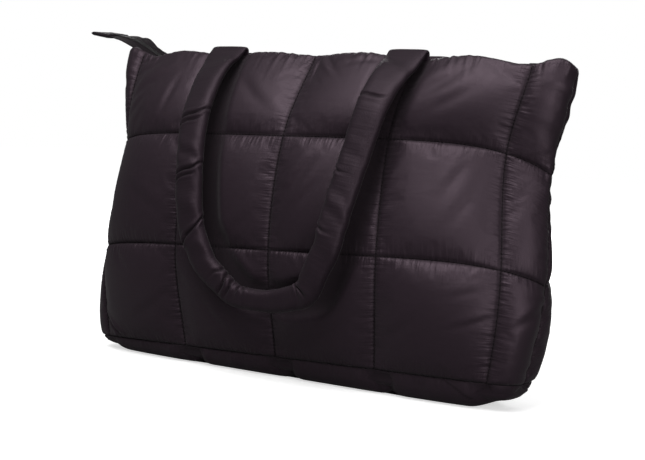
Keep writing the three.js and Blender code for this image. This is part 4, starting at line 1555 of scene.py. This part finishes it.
def build_teeth(scene):
    """Both rows of the zip's interlocked teeth."""
    pitch, thick = scene.tote_zip.tooth_pitch / MM, scene.tote_zip.tooth / MM
    point, up, aside, _ = zip_points(np.linspace(COIL_FROM, COIL_TO, TOOTH_POINTS))
    travel = travel_along(point)
    read = lambda at, columns: Vector([np.interp(at, travel, columns[:, k]) for k in range(3)])
    wire = lambda kind: (thick * kind["width"], thick * kind["thick"], kind["long"])
    bm = bmesh.new()
    for side in (FRONT, BACK):
        for number in range(int(travel[-1] / pitch)):
            at = (number + TOOTH_PHASE[side]) * pitch
            centre, rise = read(at, point), read(at, up).normalized()
            out = side * read(at, aside).normalized()
            forward = out.cross(rise)
            for height in (-TOOTH_LEG["rise"], TOOTH_LEG["rise"]):
                leg = centre + rise * height + out * TOOTH_LEG["beside"]
                add_wire(bm, (forward, rise, out), leg, wire(TOOTH_LEG))
            add_wire(bm, (forward, out, rise), centre + out * TOOTH_HEAD["beside"], wire(TOOTH_HEAD))
    nylon = plain_material("zip_coil_nylon", scene.tote_finish.coil, rough=0.38)
    teeth = finish_piece("zip_teeth", bm, nylon)
    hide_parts("zip_coil")


def tab_sheets(end, forward, rise, aside):
    """The upper and lower sheets of the tab, creased and a little curled, over the end of the tail."""
    straight = TAB["length"] - TAB["nose"]
    nose = straight + TAB["nose"] * np.sin(np.linspace(0.2, np.pi / 2, TAB_POINTS["nose"]))
    at = np.concatenate([np.linspace(-TAB["lap"], straight, TAB_POINTS["along"]), nose])
    across = np.linspace(-1, 1, TAB_POINTS["across"])
    past = lambda start, over: np.clip((at - start) / over, 0, 1)
    rounded = np.sqrt(np.maximum(0.02, 1 - ((at - straight) / TAB["nose"]) ** 2))
    dent = TAB_DENT["depth"] * np.exp(-(((at - TAB_DENT["at"]) / TAB_DENT["half"]) ** 2))
    thinner = TAB_THIN["depth"] * past(TAB_THIN["from"], TAB_THIN["over"])
    open_half = TAB["wrap"] * np.where(at < straight, 1, rounded) - dent - thinner
    squeeze = 1 - TAB_NARROW["share"] * past(TAB_NARROW["from"], TAB_NARROW["over"]) ** 2
    edge = np.sqrt(np.maximum(0.03, 1 - np.abs(across) ** 14))
    curl = TAB_CURL * past(0, TAB["length"])[:, None] ** 2 * across ** 2
    crease = ripple(
        at[:, None] + across * TAB_CREASES["slant"], TAB_CREASES["length"], TAB_CREASES["seed"])
    crease = TAB_CREASES["height"] * crease * past(0, TAB_CREASES["over"])[:, None]
    beside = TAB["half"] * across * squeeze[:, None]
    middle = end + forward * at[:, None, None] + aside * beside[..., None]
    lifts = (sign * open_half[:, None] * edge + curl + crease for sign in (1, -1))
    return [middle + rise * lift[..., None] for lift in lifts]


def build_tab(scene):
    """A folded strip of cloth that wraps the end of the tail, stitched across."""
    _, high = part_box("zip_tab")
    point, up, aside, _ = zip_points(TAB_LINE)
    end, rise, aside = point[-1], up[-1], aside[-1]
    forward = np.cross(rise, aside)
    if high.x / MM < end[0] - TAB["length"]:
        raise RuntimeError("the tab has left its place")
    bm = bent_sheet(wrapped(*tab_sheets(end, forward, rise, aside)), closed=True)
    close_ends(bm)
    weave = cloth_material(
        "tab_weave", scene.tote_finish.tab, rough=0.5, thread=0.0006, weave=0.0001, shine=0.3)
    tab = finish_piece("zip_tab_cloth", bm, weave)
    set_corner_uv(tab.data, places_of(tab.data)[:, [0, 1]] + TAB_UV)
    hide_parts("zip_tab")
    bm = bmesh.new()
    reach = TAB["half"] - TAB_STITCHES["margin"]
    row = np.outer(np.linspace(-reach, reach, TAB_STITCHES["points"]), aside)
    for line in TAB_STITCHES["lines"]:
        for sign in (1, -1):
            points = end + forward * line + rise * (sign * TAB_STITCHES["over"]) + row
            lay_stitches(bm, points, np.repeat(rise[None] * sign, len(row), axis=0), scene.tote_quilt)
    finish_piece("zip_tab_stitches", bm, thread_material(scene))


def build_slider(scene):
    """The slider at the sewn end of the closed zip: two plates, a post, a bridge and a pull."""
    low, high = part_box("zip_slider")
    centre = Vector(zip_points(SLIDER_AT + np.array(SLIDER_LINE))[0][0])
    if not all(a <= c * MM <= b for a, c, b in zip(low, centre, high)):
        raise RuntimeError("the slider has left its place")
    bm = bmesh.new()
    for size, place, round_by in SLIDER_BLOCKS:
        made = bmesh.ops.create_cube(
            bm, size=1.0, matrix=placed(Matrix.Identity(3), centre + Vector(place), size))
        edges = list({edge for vert in made["verts"] for edge in vert.link_edges})
        bmesh.ops.bevel(
            bm, geom=edges, offset=round_by * MM, offset_type="OFFSET", segments=3, profile=0.5,
            affect="EDGES", material=-1)
    enamel = plain_material("slider_enamel", scene.tote_finish.metal, rough=0.34, metallic=0.9)
    slider = finish_piece("zip_slider_metal", bm, enamel)
    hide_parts("zip_slider")


class TOTE_OT_zip(bpy.types.Operator):
    """Makes the zip's tapes and teeth"""

    bl_idname = "tote.zip"
    bl_label = "Zip tapes and teeth"

    def execute(self, context):
        build_tape(context.scene, "zip_tape_front_weave", "zip_tape_front", FRONT)
        build_tape(context.scene, "zip_tape_back_weave", "zip_tape_back", BACK)
        build_teeth(context.scene)
        return {"FINISHED"}


class TOTE_OT_zip_ends(bpy.types.Operator):
    """Makes the tab on the zip's tail and the slider at its sewn end"""

    bl_idname = "tote.zip_ends"
    bl_label = "Zip tab and slider"

    def execute(self, context):
        build_tab(context.scene)
        build_slider(context.scene)
        return {"FINISHED"}


# Stage

CAMERA_EYE = Vector((0.81907, -1.16975, 0.250))
CAMERA_AIM = Vector((0.0192, 0.0, 0.1446))
CAMERA_ROLL = math.radians(2.62)
CAMERA_LENS = 81.21
SENSOR_WIDTH = 36
CAMERA_CLIP = (0.05, 60)

# Sizes and places of the soft lights, by the setting that holds their power, and what they point at
LIGHTS = {
    "key": {"size": (1.6, 1.2), "place": (0.0, -1.35, 2.1)},
    "top": {"size": (1.8, 1.0), "place": (0.2, -0.25, 2.1)},
    "side": {"size": (1.0, 1.0), "place": (1.8, -1.4, 0.55)},
    "back": {"size": (2.0, 1.2), "place": (-0.8, 2.0, 0.9)},
}
LIGHT_AIM = Vector((0, 0, 0.15))

# How far from the bag the floor's glow starts to rise, and where it is full
GLOW_FROM, GLOW_TO = 0.35, 1.1
WHITE = (1, 1, 1, 1)


def build_camera(scene):
    """The camera at the photo's angle, rolled a little."""
    forward = (CAMERA_AIM - CAMERA_EYE).normalized()
    level = forward.cross(Vector((0, 0, 1))).normalized()
    upright = level.cross(forward)
    right = level * math.cos(CAMERA_ROLL) + upright * math.sin(CAMERA_ROLL)
    up = upright * math.cos(CAMERA_ROLL) - level * math.sin(CAMERA_ROLL)
    camera = link_object("camera", bpy.data.cameras.new("camera"))
    turn = Matrix((right, up, -forward)).transposed().to_4x4()
    camera.matrix_world = Matrix.Translation(CAMERA_EYE) @ turn
    camera.data.sensor_width = SENSOR_WIDTH
    camera.data.lens = CAMERA_LENS
    camera.data.clip_start, camera.data.clip_end = CAMERA_CLIP
    scene.camera = camera


def build_floor(settings):
    """A pale floor that the picture shows nearly white, with the bag's shade on it."""
    bm = bmesh.new()
    bmesh.ops.create_grid(bm, x_segments=8, y_segments=8, size=settings.floor_size / 2)
    floor = link_object("floor", as_mesh("floor", bm))
    material, tree, shader = start_material("pale_floor")
    seen = add_node(tree, "ShaderNodeLightPath").outputs["Is Camera Ray"]
    bounced = (*(settings.bounce * c for c in settings.floor), 1)
    place = add_node(tree, "ShaderNodeTexCoord").outputs["Object"]
    far = add_node(tree, "ShaderNodeVectorMath", {0: place}, operation="LENGTH").outputs["Value"]
    lift = add_node(tree, "ShaderNodeMapRange", {
        "Value": far, "From Min": GLOW_FROM, "From Max": GLOW_TO, "To Min": settings.glow, "To Max": 1.0})
    feed(tree, shader, {
        "Base Color": mix_colors(tree, seen, bounced, (*settings.floor, 1)),
        "Emission Strength": math_node(tree, "MULTIPLY", seen, lift.outputs[0]),
        "Emission Color": WHITE,
        "Roughness": 0.7,
        "Specular IOR Level": 0.1,
    })
    floor.data.materials.append(material)


def build_room(scene, settings):
    """Even light from all round, behind a white background."""
    world = bpy.data.worlds.new("soft_room")
    world.use_nodes = True
    tree = world.node_tree
    seen = add_node(tree, "ShaderNodeLightPath").outputs["Is Camera Ray"]
    shown = add_node(tree, "ShaderNodeMix", {0: seen, 2: settings.room, 3: 1.0}, data_type="FLOAT")
    feed(tree, tree.nodes["Background"], {"Color": WHITE, "Strength": shown.outputs[0]})
    scene.world = world


def build_light(name, power, size, place):
    """A soft rectangular light that points at the bag."""
    light = bpy.data.lights.new(name, "AREA")
    light.shape = "RECTANGLE"
    light.size, light.size_y = size
    light.energy = power
    lamp = link_object(name, light)
    lamp.location = place
    lamp.rotation_euler = (LIGHT_AIM - Vector(place)).to_track_quat("-Z", "Y").to_euler()


class TOTE_OT_stage(bpy.types.Operator):
    """Makes the pale floor, the soft light and the camera"""

    bl_idname = "tote.stage"
    bl_label = "Stage"

    def execute(self, context):
        scene, settings = context.scene, context.scene.tote_stage
        build_floor(settings)
        build_room(scene, settings)
        for name, light in LIGHTS.items():
            build_light(name + "_light", getattr(settings, name), **light)
        scene.view_settings.view_transform = "Standard"
        build_camera(scene)
        return {"FINISHED"}


class TOTE_PT_panel(bpy.types.Panel):
    """The bag's pieces and sizes in the sidebar"""

    bl_label = "Puffer tote bag"
    bl_idname = "TOTE_PT_panel"
    bl_space_type = "VIEW_3D"
    bl_region_type = "UI"
    bl_category = "Tote"

    def draw(self, context):
        for operator in OPERATORS:
            self.layout.operator(operator.bl_idname)
        for name, group in SETTINGS.items():
            box = self.layout.box()
            for field in group.__annotations__:
                box.prop(getattr(context.scene, name), field)


OPERATORS = (
    TOTE_OT_stage, TOTE_OT_panels, TOTE_OT_base, TOTE_OT_handles, TOTE_OT_stitching, TOTE_OT_zip,
    TOTE_OT_zip_ends)


def register():
    """Adds the settings, the operators and the sidebar's panel to Blender."""
    for kind in (*SETTINGS.values(), *OPERATORS, TOTE_PT_panel):
        bpy.utils.register_class(kind)
    for name, group in SETTINGS.items():
        setattr(bpy.types.Scene, name, PointerProperty(type=group))


def unregister():
    """Takes them all away again."""
    for name in SETTINGS:
        delattr(bpy.types.Scene, name)
    for kind in (TOTE_PT_panel, *reversed(OPERATORS), *reversed(list(SETTINGS.values()))):
        bpy.utils.unregister_class(kind)


def main():
    """Builds the bag on its stage."""
    register()
    bpy.ops.tote.stage()
    bpy.ops.tote.panels()
    bpy.ops.tote.base()
    bpy.ops.tote.handles()
    bpy.ops.tote.stitching()
    bpy.ops.tote.zip()
    bpy.ops.tote.zip_ends()


if __name__ == "__main__":
    main()
